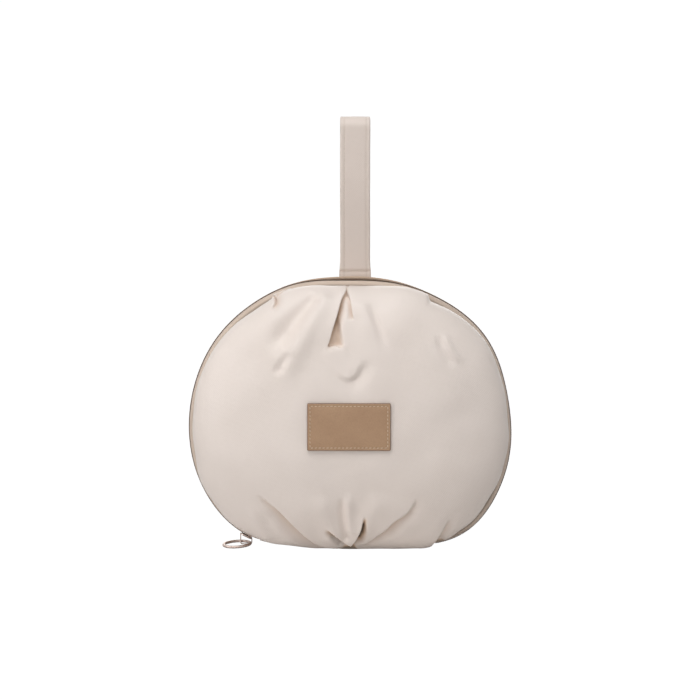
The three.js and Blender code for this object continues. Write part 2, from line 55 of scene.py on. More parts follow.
def add_camera():
    data = bpy.data.cameras.new("camera")
    data.sensor_width = 36.0
    data.sensor_fit = "HORIZONTAL"
    data.lens = 2850 / 700 * 36.0
    data.clip_start = 0.05
    data.clip_end = 60.0
    cam = bpy.data.objects.new("camera", data)
    up = math.radians(CAMERA_UP_DEG)
    cam.location = (
        AIM[0],
        AIM[1] - CAMERA_DISTANCE * math.cos(up),
        AIM[2] + CAMERA_DISTANCE * math.sin(up),
    )
    cam.rotation_euler = (math.radians(90) - up, 0, 0)
    bpy.context.scene.collection.objects.link(cam)
    bpy.context.scene.camera = cam


add_camera()

# ------------------------------------------------------------------ shape of the bag, in mm
RIM_CENTRE_Z = 82.0
RIM_STATIONS = np.array(
    [  # angle_deg, radius, skew
        (-90, 82.3, 0),
        (-75, 84.9, 0),
        (-60, 94.6, 0.3),
        (-45, 104.8, 1.3),
        (-30, 108.3, 1.2),
        (-15, 108.8, 0.6),
        (0, 108.0, 0),
        (15, 107.4, 0),
        (30, 107.4, 0.8),
        (45, 105.3, 0.6),
        (60, 102.4, -0.2),
        (75, 99.3, -0.3),
        (90, 96.9, 0),
    ]
)
SEAM_N, SEAM_Y = -5.0, 8.4
SAG_SHARE = 0.06
FRONT_DEPTH, BACK_DEPTH = 39.7, 41.3
STRAP_LIFT, STRAP_LIFT_DEG, STRAP_DEG = 2.1, 18.0, 88.0
ZIP_START_DEG, SLIDER_DEG, HINGE_START_DEG = -55.0, 227.5, 232.5

FRONT_EDGE = [  # angle_deg, inset of the puffed outline from the rim
    (0, -3.0), (15, -2.2), (35, -2.0), (50, -3.0), (57.6, -3.9), (60.2, -0.5), (66, -0.9), (76, -2.4),
    (90, -4.0), (105, -2.8), (119.6, -1.7), (121.4, -4.3), (128, -4.2), (138, -3.5), (150, -2.8), (165, -2.8),
    (180, -3.6), (190, -3.8), (200, -2.7), (215, -3.3), (228, -3.8), (240, -2.6), (256, -0.2),
    (288, 0.0), (300, -0.6), (306, -3.0), (316, -5.5), (330, -5.7), (345, -4.4),
]
BACK_EDGE = [
    (0, -2.0), (45, -2.4), (58, -3.4), (61, -1.2), (75, -2.4), (90, -3.6), (105, -2.6), (117, -1.2),
    (120, -3.2), (135, -2.4), (180, -2.0), (225, -1.4), (270, 0.0), (315, -1.4),
]


def smooth(a, b, t):
    t = np.clip((np.asarray(t, float) - a) / (b - a), 0, 1)
    return t * t * (3 - 2 * t)


def cosine_series(v):
    n = len(v) - 1
    w = np.ones(n + 1)
    w[0] = w[-1] = 0.5
    k = np.arange(n + 1)
    out = [(w * v * np.cos(np.pi * m * k / n)).sum() * 2 / n / (2 if m in (0, n) else 1) for m in range(n + 1)]
    return np.array(out)


RADIUS_SERIES = cosine_series(RIM_STATIONS[:, 1])
SKEW_SERIES = cosine_series(RIM_STATIONS[:, 2])


def rim_point(deg):
    a = np.radians(deg)
    up = np.arcsin(np.clip(np.sin(a), -1, 1)) + np.pi / 2
    c = np.cos(np.multiply.outer(up, np.arange(len(RADIUS_SERIES))))
    r = c @ RADIUS_SERIES + np.sign(np.cos(a)) * (c @ SKEW_SERIES)
    return np.stack([r * np.cos(a), RIM_CENTRE_Z + r * np.sin(a)], -1)


def rim(deg):
    """The rim's (x, z), its outward direction and its direction along, at angles in degrees."""
    deg = np.asarray(deg, float)
    p = rim_point(deg)
    d = rim_point(deg + 0.05) - rim_point(deg - 0.05)
    d /= np.linalg.norm(d, axis=-1, keepdims=True)
    return p, np.stack([d[..., 1], -d[..., 0]], -1), d


def eased(table, deg):
    t = np.array(list(table) + [(table[0][0] + 360, table[0][1])], float)
    d = np.mod(deg, 360.0)
    i = np.clip(np.searchsorted(t[:, 0], d, side="right") - 1, 0, len(t) - 2)
    return t[i, 1] + (t[i + 1, 1] - t[i, 1]) * smooth(0, 1, (d - t[i, 0]) / (t[i + 1, 0] - t[i, 0]))


def strap_lift(deg):
    return STRAP_LIFT * np.exp(-(((np.mod(deg, 360.0) - STRAP_DEG) / STRAP_LIFT_DEG) ** 2))


def puffed(side, deg, up):
    """The smooth surface of the front (side -1) or back (side 1) panel. up is 0 at the seam, 90 at the middle."""
    deg, up = np.broadcast_arrays(np.asarray(deg, float), np.asarray(up, float))
    p, out, _ = rim(deg)
    lift = strap_lift(deg) if side > 0 else np.zeros_like(deg)
    seam = p + out * (SEAM_N + lift)[..., None]
    wide = p + out * (eased(FRONT_EDGE if side < 0 else BACK_EDGE, deg) + lift)[..., None]
    low = smooth(0.3, 1, -np.sin(np.radians(deg)))
    puff = 12 - 5 * low
    power = 2.7 - 0.5 * low
    t = np.clip(up / puff, 0, 1)[..., None]
    a = seam + (wide - seam) * np.sin(t * np.pi / 2)
    # the steps in the edge at the small pleats fade out towards the middle
    table = FRONT_EDGE if side < 0 else BACK_EDGE
    even = np.mean([eased(table, deg + k) for k in np.arange(-12, 12.1, 3)], 0)
    calm = (smooth(puff + 1, 34, up) * (even + lift - eased(table, deg) - lift))[..., None] * out
    share = np.clip(np.cos((up - puff) / (90 - puff) * np.pi / 2), 0, 1) ** (2 / power)
    centre = np.array([0, RIM_CENTRE_Z])
    b = centre + (wide + calm - centre) * share[..., None]
    q = np.where((up <= puff)[..., None], a, b)
    depth = FRONT_DEPTH if side < 0 else BACK_DEPTH
    y = SEAM_Y + depth * (1 - SAG_SHARE * (q[..., 1] - RIM_CENTRE_Z) / 95) * np.sin(np.radians(up)) ** (2 / 2.1)
    return np.stack([q[..., 0], side * y, q[..., 1]], -1)


def puffed_normal(side, deg, up):
    u = np.clip(up, 0.5, 88.0)
    a = puffed(side, deg + 0.4, u) - puffed(side, deg - 0.4, u)
    b = puffed(side, deg, u + 0.4) - puffed(side, deg, u - 0.4)
    n = np.cross(a, b) * -side
    return n / np.maximum(np.linalg.norm(n, axis=-1, keepdims=True), 1e-9)


# ------------------------------------------------------------------ folds
# Every fold follows a line of (x, z) points on the panel, as seen from the front.
# Soft ones swell or sink by height. In lapped ones the cloth on one side rolls over the
# cloth on the other: under says which side of the line, going along it and seen from
# outside, is the lower; each column of a row is (share of the length, value).
FRONT_SOFT = [
    # name, line, (half width at start, at end), height, (fade in, fade out) as shares
    ("box_pleat_floor", [(-1.7, 173), (-3.6, 164), (-4.6, 154)], (1.6, 3.2), -0.8, (0.05, 0.45)),
    ("left_valley", [(-19.6, 172.4), (-34.6, 156.7), (-43.8, 145), (-53.0, 132)], (4.5, 7.5), -3.5, (0.12, 0.35)),
    ("left_streak", [(-38.5, 134.5), (-44.5, 125.5), (-50.0, 117.0)], (2.8, 3.4), -1.9, (0.3, 0.4)),
    ("left_ridge", [(-16.3, 173.6), (-27.5, 149.0), (-38.0, 131.0), (-49.5, 114.0)], (6.0, 8.5), 2.9, (0.1, 0.4)),
    ("left_shoulder", [(-44.0, 163.0), (-60.0, 146.0), (-70.0, 128.0)], (8.0, 12.0), 1.2, (0.25, 0.4)),
    ("right_crease", [(12.6, 165.0), (16.7, 154.5), (19.3, 147.8), (24.5, 132.5)], (1.9, 3.0), -1.3, (0.3, 0.45)),
    ("right_roll", [(7.5, 168.0), (11.0, 154.0), (15.0, 138.0)], (4.5, 6.0), 1.0, (0.15, 0.5)),
    ("right_swell", [(24.0, 167.0), (33.0, 150.0), (36.0, 136.0)], (9.0, 12.0), 0.8, (0.2, 0.5)),
    ("far_right_line", [(60.5, 148.0), (64.7, 136.3), (72.9, 125.0)], (2.6, 3.0), 1.1, (0.3, 0.3)),
    ("far_right_sink", [(57.5, 146.0), (61.5, 134.5), (69.0, 122.5)], (3.0, 3.4), -1.1, (0.3, 0.3)),
    ("bulge_shade", [(15.0, 131.0), (9.5, 121.0), (3.0, 112.0), (-5.0, 108.0)], (4.0, 5.5), -1.0, (0.3, 0.5)),
    ("bottom_valley", [(-4.5, 40.0), (-5.0, 30.2), (-3.8, 19.0), (-2.4, 11.0)], (2.4, 2.2), -2.0, (0.35, 0.05)),
    ("bottom_ridge", [(-0.6, 44.0), (-1.2, 30.0), (0.2, 16.0)], (3.2, 3.6), 1.7, (0.4, 0.05)),
    ("bottom_left_swell", [(-22.0, 42.0), (-15.0, 24.0), (-10.5, 13.0)], (8.0, 5.0), 1.8, (0.4, 0.05)),
    ("bottom_right_swell", [(24.0, 42.0), (15.0, 28.0), (9.0, 14.0)], (8.0, 4.5), 1.4, (0.4, 0.05)),
    ("lower_left_ridge", [(-67.0, 34.0), (-62.0, 20.0), (-55.0, 7.0)], (5.0, 5.0), 1.0, (0.4, 0.1)),
    ("lower_left_sink", [(-58.0, 30.0), (-52.0, 17.0), (-45.0, 6.0)], (4.0, 5.0), -0.8, (0.4, 0.1)),
    ("lower_right_sink", [(70.0, 30.0), (66.0, 20.0), (60.0, 8.0)], (4.0, 5.0), -0.8, (0.4, 0.1)),
    ("side_swell_left", [(-84.0, 118.0), (-88.0, 84.0), (-80.0, 52.0)], (13.0, 13.0), 0.9, (0.3, 0.3)),
    ("side_sink_right", [(66.0, 104.0), (72.0, 80.0), (68.0, 56.0)], (12.0, 12.0), -0.7, (0.3, 0.3)),
]
# In a lap, shade sets how much shade is painted into the cloth's colour on its lower side; dark_at and dark_w set where
# across it and how wide.
FRONT_LAPS = [
    dict(name="pleat_left", under="left", line=[(-1.7, 175.2), (-5.5, 167.7), (-8.0, 159.2), (-10.6, 151.0), (-12.9, 143.6), (-14.2, 138.6)],
         depth=[(0, 1.0), (0.15, 2.0), (0.4, 3.4), (0.6, 3.6), (0.8, 2.8), (0.95, 2.0), (1, 1.2)],
         crest=[(0, 0.3), (0.4, 1.4), (0.7, 1.5), (1, 0.2)], band=[(0, 0.9), (0.4, 1.5), (0.7, 1.7), (1, 2.0)],
         under_w=[(0, 1.5), (0.35, 3.0), (0.6, 5.5), (0.9, 9.0), (1, 9.0)], over_w=9.0, lap=1.2, shade=1.0),
    dict(name="pleat_inner", under="right", line=[(-6.6, 161.5), (-6.1, 155.0), (-5.3, 147.0), (-4.2, 139.2)],
         depth=[(0, 0.0), (0.25, 0.7), (0.6, 1.5), (0.9, 1.5), (1, 0.9)], crest=[(0, 0.0), (0.5, 0.6), (1, 0.4)],
         band=[(0, 0.8), (1, 1.2)], under_w=[(0, 3.0), (0.5, 5.5), (1, 8.0)], over_w=5.0, lap=0.5, shade=0.0),
    dict(name="pleat_sill", under="left", line=[(-15.4, 139.4), (-12.2, 137.6), (-9.0, 138.3), (-6.4, 137.2), (-3.4, 139.0)],
         depth=[(0, 0.2), (0.3, 1.6), (0.75, 1.6), (1, 0.2)], crest=[(0, 0.0), (0.4, 0.8), (0.8, 0.6), (1, 0.0)],
         band=[(0, 1.0), (1, 1.0)], under_w=[(0, 6.0), (0.5, 9.0), (1, 6.0)], over_w=7.0, lap=0.7, shade=0.0),
    dict(name="pleat_right", under="right", line=[(-1.7, 175.2), (0.0, 168.4), (1.1, 162.4), (1.8, 157.4), (2.0, 154.6)],
         depth=[(0, 1.0), (0.3, 1.7), (0.75, 2.6), (0.9, 1.8), (1, 0.0)],
         crest=[(0, 0.3), (0.5, 0.8), (1, 0.0)], band=[(0, 0.8), (0.6, 1.1), (1, 1.8)],
         under_w=[(0, 1.5), (0.5, 2.6), (1, 3.6)], over_w=6.0, lap=1.1, shade=0.45),
    dict(name="bulge_lip", under="right",
         line=[(-15.8, 134.5), (-13.0, 126.0), (-8.0, 119.6), (-2.2, 116.4), (3.4, 118.4), (6.6, 123.6), (8.8, 130.0)],
         depth=[(0, 0.0), (0.3, 0.2), (0.65, 0.6), (0.85, 0.3), (1, 0.0)], crest=[(0, 0.0), (0.3, 0.4), (0.6, 1.0), (0.85, 0.6), (1, 0.0)],
         band=[(0, 3.4), (1, 2.6)], under_w=[(0, 8.0), (1, 8.0)], over_w=10.0, lap=0.5, shade=0.0),
    dict(name="upper_left_step", under="left", line=[(-51.4, 169.6), (-49.4, 166.0), (-49.6, 163.6), (-51.4, 160.2)],
         depth=[(0, 2.4), (0.5, 2.2), (1, 0.0)], crest=[(0, 0.8), (0.6, 0.6), (1, 0.0)], band=[(0, 0.8), (1, 1.4)],
         under_w=[(0, 5.0), (1, 5.0)], over_w=6.0, lap=1.05),
    dict(name="bottom_left_fold", under="right",
         line=[(-60.5, 40.6), (-54.5, 35.6), (-47.5, 30.3), (-37.0, 19.7), (-26.3, 9.2), (-17.2, 4.0), (-9.0, 2.4)],
         depth=[(0, 0.0), (0.12, 1.2), (0.3, 3.0), (0.5, 4.6), (0.75, 5.4), (0.9, 4.4), (1, 2.5)],
         crest=[(0, 0.0), (0.2, 0.9), (0.6, 2.0), (1, 1.2)], band=[(0, 1.6), (0.5, 2.4), (1, 2.2)],
         under_w=[(0, 4.0), (0.25, 8.0), (0.5, 11.0), (0.8, 10.0), (1, 6.0)], over_w=12.0, lap=1.1, shade=0.55),
    dict(name="bottom_right_fold", under="left",
         line=[(43.0, 38.6), (41.2, 32.6), (36.5, 27.0), (29.5, 22.4), (23.6, 16.4), (17.1, 11.4), (10.5, 6.4)],
         depth=[(0, 0.0), (0.15, 1.2), (0.35, 2.6), (0.6, 3.8), (0.85, 4.0), (1, 2.5)],
         crest=[(0, 0.0), (0.3, 0.8), (0.7, 1.4), (1, 0.9)], band=[(0, 1.6), (0.5, 2.2), (1, 2.0)],
         under_w=[(0, 4.0), (0.3, 7.0), (0.6, 9.0), (1, 6.0)], over_w=10.0, lap=1.05, shade=0.55),
    dict(name="centre_left_lip", under="right", line=[(-12.4, 14.6), (-9.6, 12.4), (-6.4, 9.6), (-3.2, 7.0), (0.2, 5.4)],
         depth=[(0, 2.4), (0.2, 4.2), (0.6, 5.2), (1, 5.0)], crest=[(0, 0.5), (0.4, 1.5), (1, 1.4)],
         band=[(0, 1.0), (0.5, 1.4), (1, 1.4)], under_w=[(0, 3.0), (0.5, 5.0), (1, 4.0)], over_w=5.0, lap=0.4, shade=2.2, dark_at=0.1, dark_w=2.0),
    dict(name="centre_right_lip", under="left", line=[(8.6, 21.6), (7.4, 16.4), (5.2, 11.8), (3.2, 8.2), (0.8, 5.4)],
         depth=[(0, 2.2), (0.2, 4.4), (0.6, 5.2), (1, 5.0)], crest=[(0, 0.5), (0.4, 1.5), (1, 1.4)],
         band=[(0, 1.0), (0.5, 1.5), (1, 1.4)], under_w=[(0, 2.6), (0.5, 3.6), (1, 4.0)], over_w=5.0, lap=0.5, shade=1.6, dark_at=1.1, dark_w=1.35),
    dict(name="lower_right_pleat", under="left", line=[(66.0, 22.6), (62.4, 16.6), (58.6, 10.4), (53.6, 2.8)],
         depth=[(0, 0.0), (0.25, 1.4), (0.6, 2.8), (1, 3.2)], crest=[(0, 0.0), (0.5, 1.0), (1, 1.0)],
         band=[(0, 1.3), (1, 1.7)], under_w=[(0, 5.0), (0.5, 9.0), (1, 12.0)], over_w=8.0, lap=1.05, shade=0.7),
]
FRONT_SHADE_PATCHES = [  # patches of shade painted into the cloth's colour inside the pleats: corners, strength
    ([(-13.6, 139.2), (-4.9, 139.4), (-6.6, 152.0), (-7.4, 160.0), (-9.4, 153.0)], 0.62),
    ([(-10.6, 148.5), (-8.2, 149.0), (-7.2, 155.0), (-7.4, 161.5), (-9.2, 154.0)], 1.0),
    ([(-7.5, -1.0), (6.0, -1.0), (3.2, 3.3), (-4.2, 3.3)], 1.25),
    ([(54.5, -1.0), (66.5, 3.0), (62.5, 7.0), (56.5, 3.6)], 0.95),
]
BACK_SOFT = [
    ("box_pleat_floor", [(2.0, 174), (4.0, 160), (6.0, 145)], (2.0, 6.5), -1.4, (0.05, 0.4)),
    ("left_valley", [(-17, 173), (-31, 157), (-48, 134)], (4.5, 7.5), -2.3, (0.12, 0.4)),
    ("left_ridge", [(-12, 174), (-22, 150), (-42, 118)], (6.0, 9.0), 1.8, (0.1, 0.45)),
    ("right_valley", [(21, 172), (36, 156), (52, 134)], (4.5, 7.5), -2.5, (0.12, 0.4)),
    ("right_ridge", [(16, 173), (27, 150), (44, 120)], (6.0, 9.0), 2.0, (0.1, 0.45)),
    ("bottom_valley", [(2.5, 40), (3.0, 28), (1.5, 12)], (2.4, 2.2), -2.0, (0.35, 0.05)),
    ("bottom_swell_a", [(20, 42), (14, 26), (8, 12)], (8.0, 5.0), 1.6, (0.4, 0.05)),
    ("bottom_swell_b", [(-20, 42), (-13, 26), (-7, 12)], (8.0, 5.0), 1.6, (0.4, 0.05)),
    ("side_swell", [(82, 118), (88, 84), (80, 52)], (13.0, 13.0), 0.9, (0.3, 0.3)),
    ("side_sink", [(-64, 108), (-72, 84), (-66, 58)], (12.0, 12.0), -0.8, (0.3, 0.3)),
]
BACK_LAPS = [
    dict(name="pleat_left", under="right", line=[(2.2, 175.6), (5.6, 167.5), (8.4, 158.0), (12.5, 144.0), (14.0, 136.0)],
         depth=[(0, 1.0), (0.15, 2.2), (0.4, 3.6), (0.62, 3.6), (0.8, 2.0), (1, 0.0)],
         crest=[(0, 0.3), (0.4, 1.3), (0.7, 1.4), (1, 0.0)], band=[(0, 1.0), (0.4, 1.9), (1, 3.0)],
         under_w=[(0, 1.5), (0.35, 4.0), (0.6, 8.0), (1, 11.0)], over_w=9.0, lap=1.1),
    dict(name="pleat_right", under="left", line=[(2.2, 175.6), (0.2, 167.0), (-1.2, 158.0), (-1.6, 149.0)],
         depth=[(0, 1.0), (0.3, 2.2), (0.65, 3.0), (1, 0.0)],
         crest=[(0, 0.3), (0.5, 1.1), (1, 0.0)], band=[(0, 0.9), (0.6, 1.5), (1, 2.2)],
         under_w=[(0, 1.5), (0.5, 3.0), (1, 5.0)], over_w=7.0, lap=1.1),
    dict(name="bottom_right_fold", under="left",
         line=[(56.0, 41.0), (48.0, 32.0), (37.0, 20.0), (27.0, 10.0), (17.0, 4.5), (9.0, 2.6)],
         depth=[(0, 0.0), (0.15, 1.2), (0.4, 3.4), (0.7, 4.8), (0.9, 4.2), (1, 2.5)],
         crest=[(0, 0.0), (0.3, 1.0), (0.7, 1.8), (1, 1.2)], band=[(0, 1.6), (0.5, 2.3), (1, 2.2)],
         under_w=[(0, 4.0), (0.3, 8.0), (0.6, 10.0), (1, 6.0)], over_w=11.0, lap=1.08),
    dict(name="bottom_left_fold", under="right",
         line=[(-52.0, 40.0), (-45.0, 30.0), (-35.0, 20.0), (-25.0, 11.0), (-16.0, 6.0), (-9.0, 3.0)],
         depth=[(0, 0.0), (0.15, 1.2), (0.4, 3.0), (0.7, 4.2), (0.9, 3.8), (1, 2.5)],
         crest=[(0, 0.0), (0.3, 0.9), (0.7, 1.6), (1, 1.0)], band=[(0, 1.6), (0.5, 2.3), (1, 2.2)],
         under_w=[(0, 4.0), (0.3, 7.0), (0.6, 9.0), (1, 6.0)], over_w=10.0, lap=1.06),
    dict(name="centre_lip", under="right", line=[(-9.0, 19.0), (-6.4, 13.0), (-3.6, 8.6), (0.2, 5.4)],
         depth=[(0, 0.6), (0.2, 2.6), (0.6, 3.4), (1, 3.0)], crest=[(0, 0.3), (0.4, 1.1), (1, 1.0)],
         band=[(0, 0.9), (0.5, 1.4), (1, 1.4)], under_w=[(0, 3.0), (0.5, 5.0), (1, 4.0)], over_w=5.0, lap=1.1),
]


def spline(points, n):
    """A smooth line of n points through the given ones, evenly spaced."""
    p = np.array(points, float)
    e = np.vstack([2 * p[0] - p[1], p, 2 * p[-1] - p[-2]])
    out = []
    for i in range(len(p) - 1):
        a, b, c, d = e[i : i + 4]
        t = np.linspace(0, 1, 24, endpoint=False)[:, None]
        out.append(0.5 * (2 * b + (c - a) * t + (2 * a - 5 * b + 4 * c - d) * t**2 + (3 * b - a - 3 * c + d) * t**3))
    out = np.vstack(out + [p[-1:]])
    far = np.r_[0, np.cumsum(np.linalg.norm(np.diff(out, axis=0), axis=1))]
    s = np.linspace(0, far[-1], n)
    return np.stack([np.interp(s, far, out[:, k]) for k in range(out.shape[1])], -1)


class Surface:
    """A panel's smooth surface, which finds its own points from (x, z)."""

    def __init__(self, side):
        self.side = side
        deg, up = np.meshgrid(np.arange(0, 360, 0.5), np.arange(7.5, 89.8, 0.5))
        self.deg, self.up = deg.ravel(), up.ravel()
        self.p = puffed(side, self.deg, self.up)

    def at(self, x, z):
        d = np.hypot(self.p[:, 0] - x, self.p[:, 2] - z)
        i = np.argpartition(d, 6)[:6]
        w = 1 / (d[i] + 1e-3)
        point = (self.p[i] * w[:, None]).sum(0) / w.sum()
        j = i[np.argmin(d[i])]
        normal = puffed_normal(self.side, self.deg[j : j + 1], self.up[j : j + 1])[0]
        return np.array([x, point[1], z]), normal

    def line(self, points, n=56):
        flat = spline(points, n)
        got = [self.at(x, z) for x, z in flat]
        p = np.array([g[0] for g in got])
        normal = np.array([g[1] for g in got])
        for _ in range(3):
            normal[1:-1] = (normal[:-2] + normal[1:-1] + normal[2:]) / 3
            p[1:-1, 1] = (p[:-2, 1] + p[1:-1, 1] + p[2:, 1]) / 3
        normal /= np.linalg.norm(normal, axis=1, keepdims=True)
        t = np.gradient(p, axis=0)
        t /= np.linalg.norm(t, axis=1, keepdims=True)
        left = np.cross(normal, t)
        left /= np.linalg.norm(left, axis=1, keepdims=True)
        return p, t, left


def near(line, points, reach):
    """For points within reach of a line: their indices, signed distance to its left, share of its length,
    distance past an end, and its left direction there."""
    p, t, left = line
    low, high = p.min(0) - reach, p.max(0) + reach
    idx = np.nonzero(((points > low) & (points < high)).all(1))[0]
    q = points[idx]
    best = np.full(len(idx), 1e9)
    k = np.zeros(len(idx), int)
    for j in range(len(p)):
        d = ((q - p[j]) ** 2).sum(1)
        m = d < best
        best[m] = d[m]
        k[m] = j
    keep = best < reach**2
    idx, q, k = idx[keep], q[keep], k[keep]
    a = ((q - p[k]) * t[k]).sum(1)
    step = np.linalg.norm(p[1] - p[0])
    share = np.clip((k + a / step) / (len(p) - 1), 0, 1)
    past = np.where(k == 0, np.maximum(-a, 0), np.where(k == len(p) - 1, np.maximum(a, 0), 0))
    s = ((q - p[k]) * left[k]).sum(1)
    return idx, s, share, past, left[k]


def column(rows, share):
    r = np.array(rows, float)
    return np.interp(share, r[:, 0], r[:, 1])


def inside_of(corners, q):
    """1 within a convex outline of (x, z) corners, given anticlockwise, and 0 a millimetre outside it."""
    c = np.array(corners, float)
    d = np.roll(c, -1, 0) - c
    inward = np.stack([-d[:, 1], d[:, 0]], -1) / np.linalg.norm(d, axis=1)[:, None]
    depth = np.min([(q - a) @ n for a, n in zip(c, inward)], 0)
    return smooth(-0.9, 0.7, depth)


def folded(surface, points, normals, soft, laps, shade_patches=()):
    """How far the folds move each point, and how much shade is painted into its colour deep in a fold, 0 to 1."""
    move = np.zeros_like(points)
    height = np.zeros(len(points))
    painted_shade = np.zeros(len(points))
    for _, line, (w0, w1), h, (fade_in, fade_out) in soft:
        idx, s, share, past, _ = near(surface.line(line), points, 3.2 * max(w0, w1))
        w = w0 + (w1 - w0) * share
        along = smooth(0, max(fade_in, 1e-3), share) if fade_in > 0.06 else np.ones(len(share))
        along = along * (1 - smooth(1 - fade_out, 1, share) if fade_out > 0.06 else 1.0)
        past_w = w * (0.7 if fade_out <= 0.06 or fade_in <= 0.06 else 1.0)
        height[idx] += h * along * np.exp(-((s / w) ** 2) - (past / past_w) ** 2)
    for f in laps:
        idx, s, share, past, left = near(surface.line(f["line"]), points, 26.0)
        s = s if f["under"] == "left" else -s  # s > 0 is now the lower side
        toward = left if f["under"] == "left" else -left
        depth, crest = column(f["depth"], share), column(f["crest"], share)
        c, wu = column(f["band"], share), column(f["under_w"], share)
        wo = f["over_w"]
        fade = np.exp(-((past / 2.6) ** 2))
        over = crest * np.exp(-(((-s - c) / wo) ** 2))
        roll = crest + (-depth - crest) * smooth(-1, 1, s / c)
        under = -depth * (1 - smooth(0, 1, (s - c) / wu)) ** 1.15
        h = np.where(s < -c, over, np.where(s < c, roll, under))
        strength = np.clip((depth + crest) / 2.4, 0, 1)
        k = f["lap"] * strength
        wl = np.maximum(wu * 1.1, 5.0)
        side = np.where(
            np.abs(s) <= c,
            -k * s,
            np.where(s > c, -k * c * (1 - smooth(0, 1, (s - c) / wl)), k * c * (1 - smooth(0, 1, (-s - c) / wo))),
        )
        height[idx] += h * fade
        move[idx] += toward * (side * fade)[:, None]
        # shade painted into the cloth's colour on the lower side of the lap, strongest near dark_at
        deep = np.clip(depth / 3.5, 0, 1) * fade * np.exp(-(((s - f.get("dark_at", 0.8) * c) / f.get("dark_w", 0.30 * wu + 0.9)) ** 2)) * (s > -c)
        painted_shade[idx] = np.maximum(painted_shade[idx], np.minimum(deep * f.get("shade", 0.65), 1.5))
    # and shade painted into the colour inside each listed patch
    for corners, strength in shade_patches:
        painted_shade = np.maximum(painted_shade, strength * inside_of(corners, points[:, [0, 2]]) * (points[:, 1] * surface.side > 0))
    move += normals * height[:, None]
    return move, height, painted_shade


def ripples(p, seed, size, amount):
    """Slight unevenness of hand-sewn cloth, as a few crossing waves."""
    rng = np.random.default_rng(seed)
    out = np.zeros(len(p))
    for _ in range(14):
        direction = rng.normal(size=3)
        direction /= np.linalg.norm(direction)
        wave = size * rng.uniform(0.6, 1.6)
        out += np.sin(p @ direction * 2 * np.pi / wave + rng.uniform(0, 2 * np.pi))
    return out * amount / math.sqrt(14)


# ------------------------------------------------------------------ meshes
def new_object(name, verts, faces, material, uv=None, values=None, flat=False):
    """A mesh object from points in mm. uv is a pair per point, values a dict of numbers per point."""
    me = bpy.data.meshes.new(name)
    me.from_pydata((np.asarray(verts, float) * MM).tolist(), [], faces)
    me.update()
    if not flat:
        me.polygons.foreach_set("use_smooth", [True] * len(me.polygons))
    if uv is not None:
        layer = me.uv_layers.new(name="UVMap")
        which = np.zeros(len(me.loops), int)
        me.loops.foreach_get("vertex_index", which)
        layer.data.foreach_set("uv", np.asarray(uv, float)[which].ravel())
    for key, v in (values or {}).items():
        att = me.attributes.new(key, "FLOAT", "POINT")
        att.data.foreach_set("value", np.asarray(v, np.float32))
    ob = bpy.data.objects.new(name, me)
    bpy.context.scene.collection.objects.link(ob)
    me.materials.append(material)
    return ob


def ring_faces(counts, starts):
    """Faces between rings of points, where a ring has as many points as the next, twice or half as many, or one."""
    faces = []
    for a in range(len(counts) - 1):
        na, nb, sa, sb = counts[a], counts[a + 1], starts[a], starts[a + 1]
        if na == 1:
            faces += [(sa, sb + (k + 1) % nb, sb + k) for k in range(nb)]
        elif nb == 1:
            faces += [(sa + k, sa + (k + 1) % na, sb) for k in range(na)]
        elif na == nb:
            faces += [(sa + k, sa + (k + 1) % na, sb + (k + 1) % nb, sb + k) for k in range(na)]
        elif na == 2 * nb:
            for j in range(nb):
                f0, f1, f2 = sa + 2 * j, sa + 2 * j + 1, sa + (2 * j + 2) % na
                c0, c1 = sb + j, sb + (j + 1) % nb
                faces += [(f0, f1, c0), (f1, c1, c0), (f1, f2, c1)]
        else:
            for j in range(na):
                f0, f1, f2 = sb + 2 * j, sb + 2 * j + 1, sb + (2 * j + 2) % nb
                c0, c1 = sa + j, sa + (j + 1) % na
                faces += [(c0, f1, f0), (c0, c1, f1), (c1, f2, f1)]
    return faces


def sweep(name, rows, material, closed_ends=True, uv=None, values=None):
    """A tube-like mesh from rows of the same number of points, in mm. Its section is closed and so are its ends."""
    rows = np.asarray(rows, float)
    n, c = rows.shape[:2]
    faces = []
    for i in range(n - 1):
        for k in range(c):
            a, b = i * c + k, i * c + (k + 1) % c
            faces.append((a, b, b + c, a + c))
    verts = rows.reshape(-1, 3)
    if closed_ends:
        verts = np.vstack([verts, rows[0].mean(0), rows[-1].mean(0)])
        s, e = n * c, n * c + 1
        faces += [(s, (k + 1) % c, k) for k in range(c)]
        faces += [(e, (n - 1) * c + k, (n - 1) * c + (k + 1) % c) for k in range(c)]
        if uv is not None:
            uv = np.vstack([uv, uv[0], uv[-1]])
        if values is not None:
            values = {k: np.r_[v, v[0], v[-1]] for k, v in values.items()}
    ob = new_object(name, verts, faces, material, uv, values)
    turn_out(ob)
    return ob


def turn_out(ob):
    """Turns a closed mesh's faces outwards."""
    me = ob.data
    me.calc_loop_triangles()
    v = np.zeros(len(me.vertices) * 3)
    me.vertices.foreach_get("co", v)
    v = v.reshape(-1, 3)
    t = np.zeros(len(me.loop_triangles) * 3, int)
    me.loop_triangles.foreach_get("vertices", t)
    t = t.reshape(-1, 3)
    if np.einsum("ij,ij->i", v[t[:, 0]], np.cross(v[t[:, 1]], v[t[:, 2]])).sum() < 0:
        me.flip_normals()


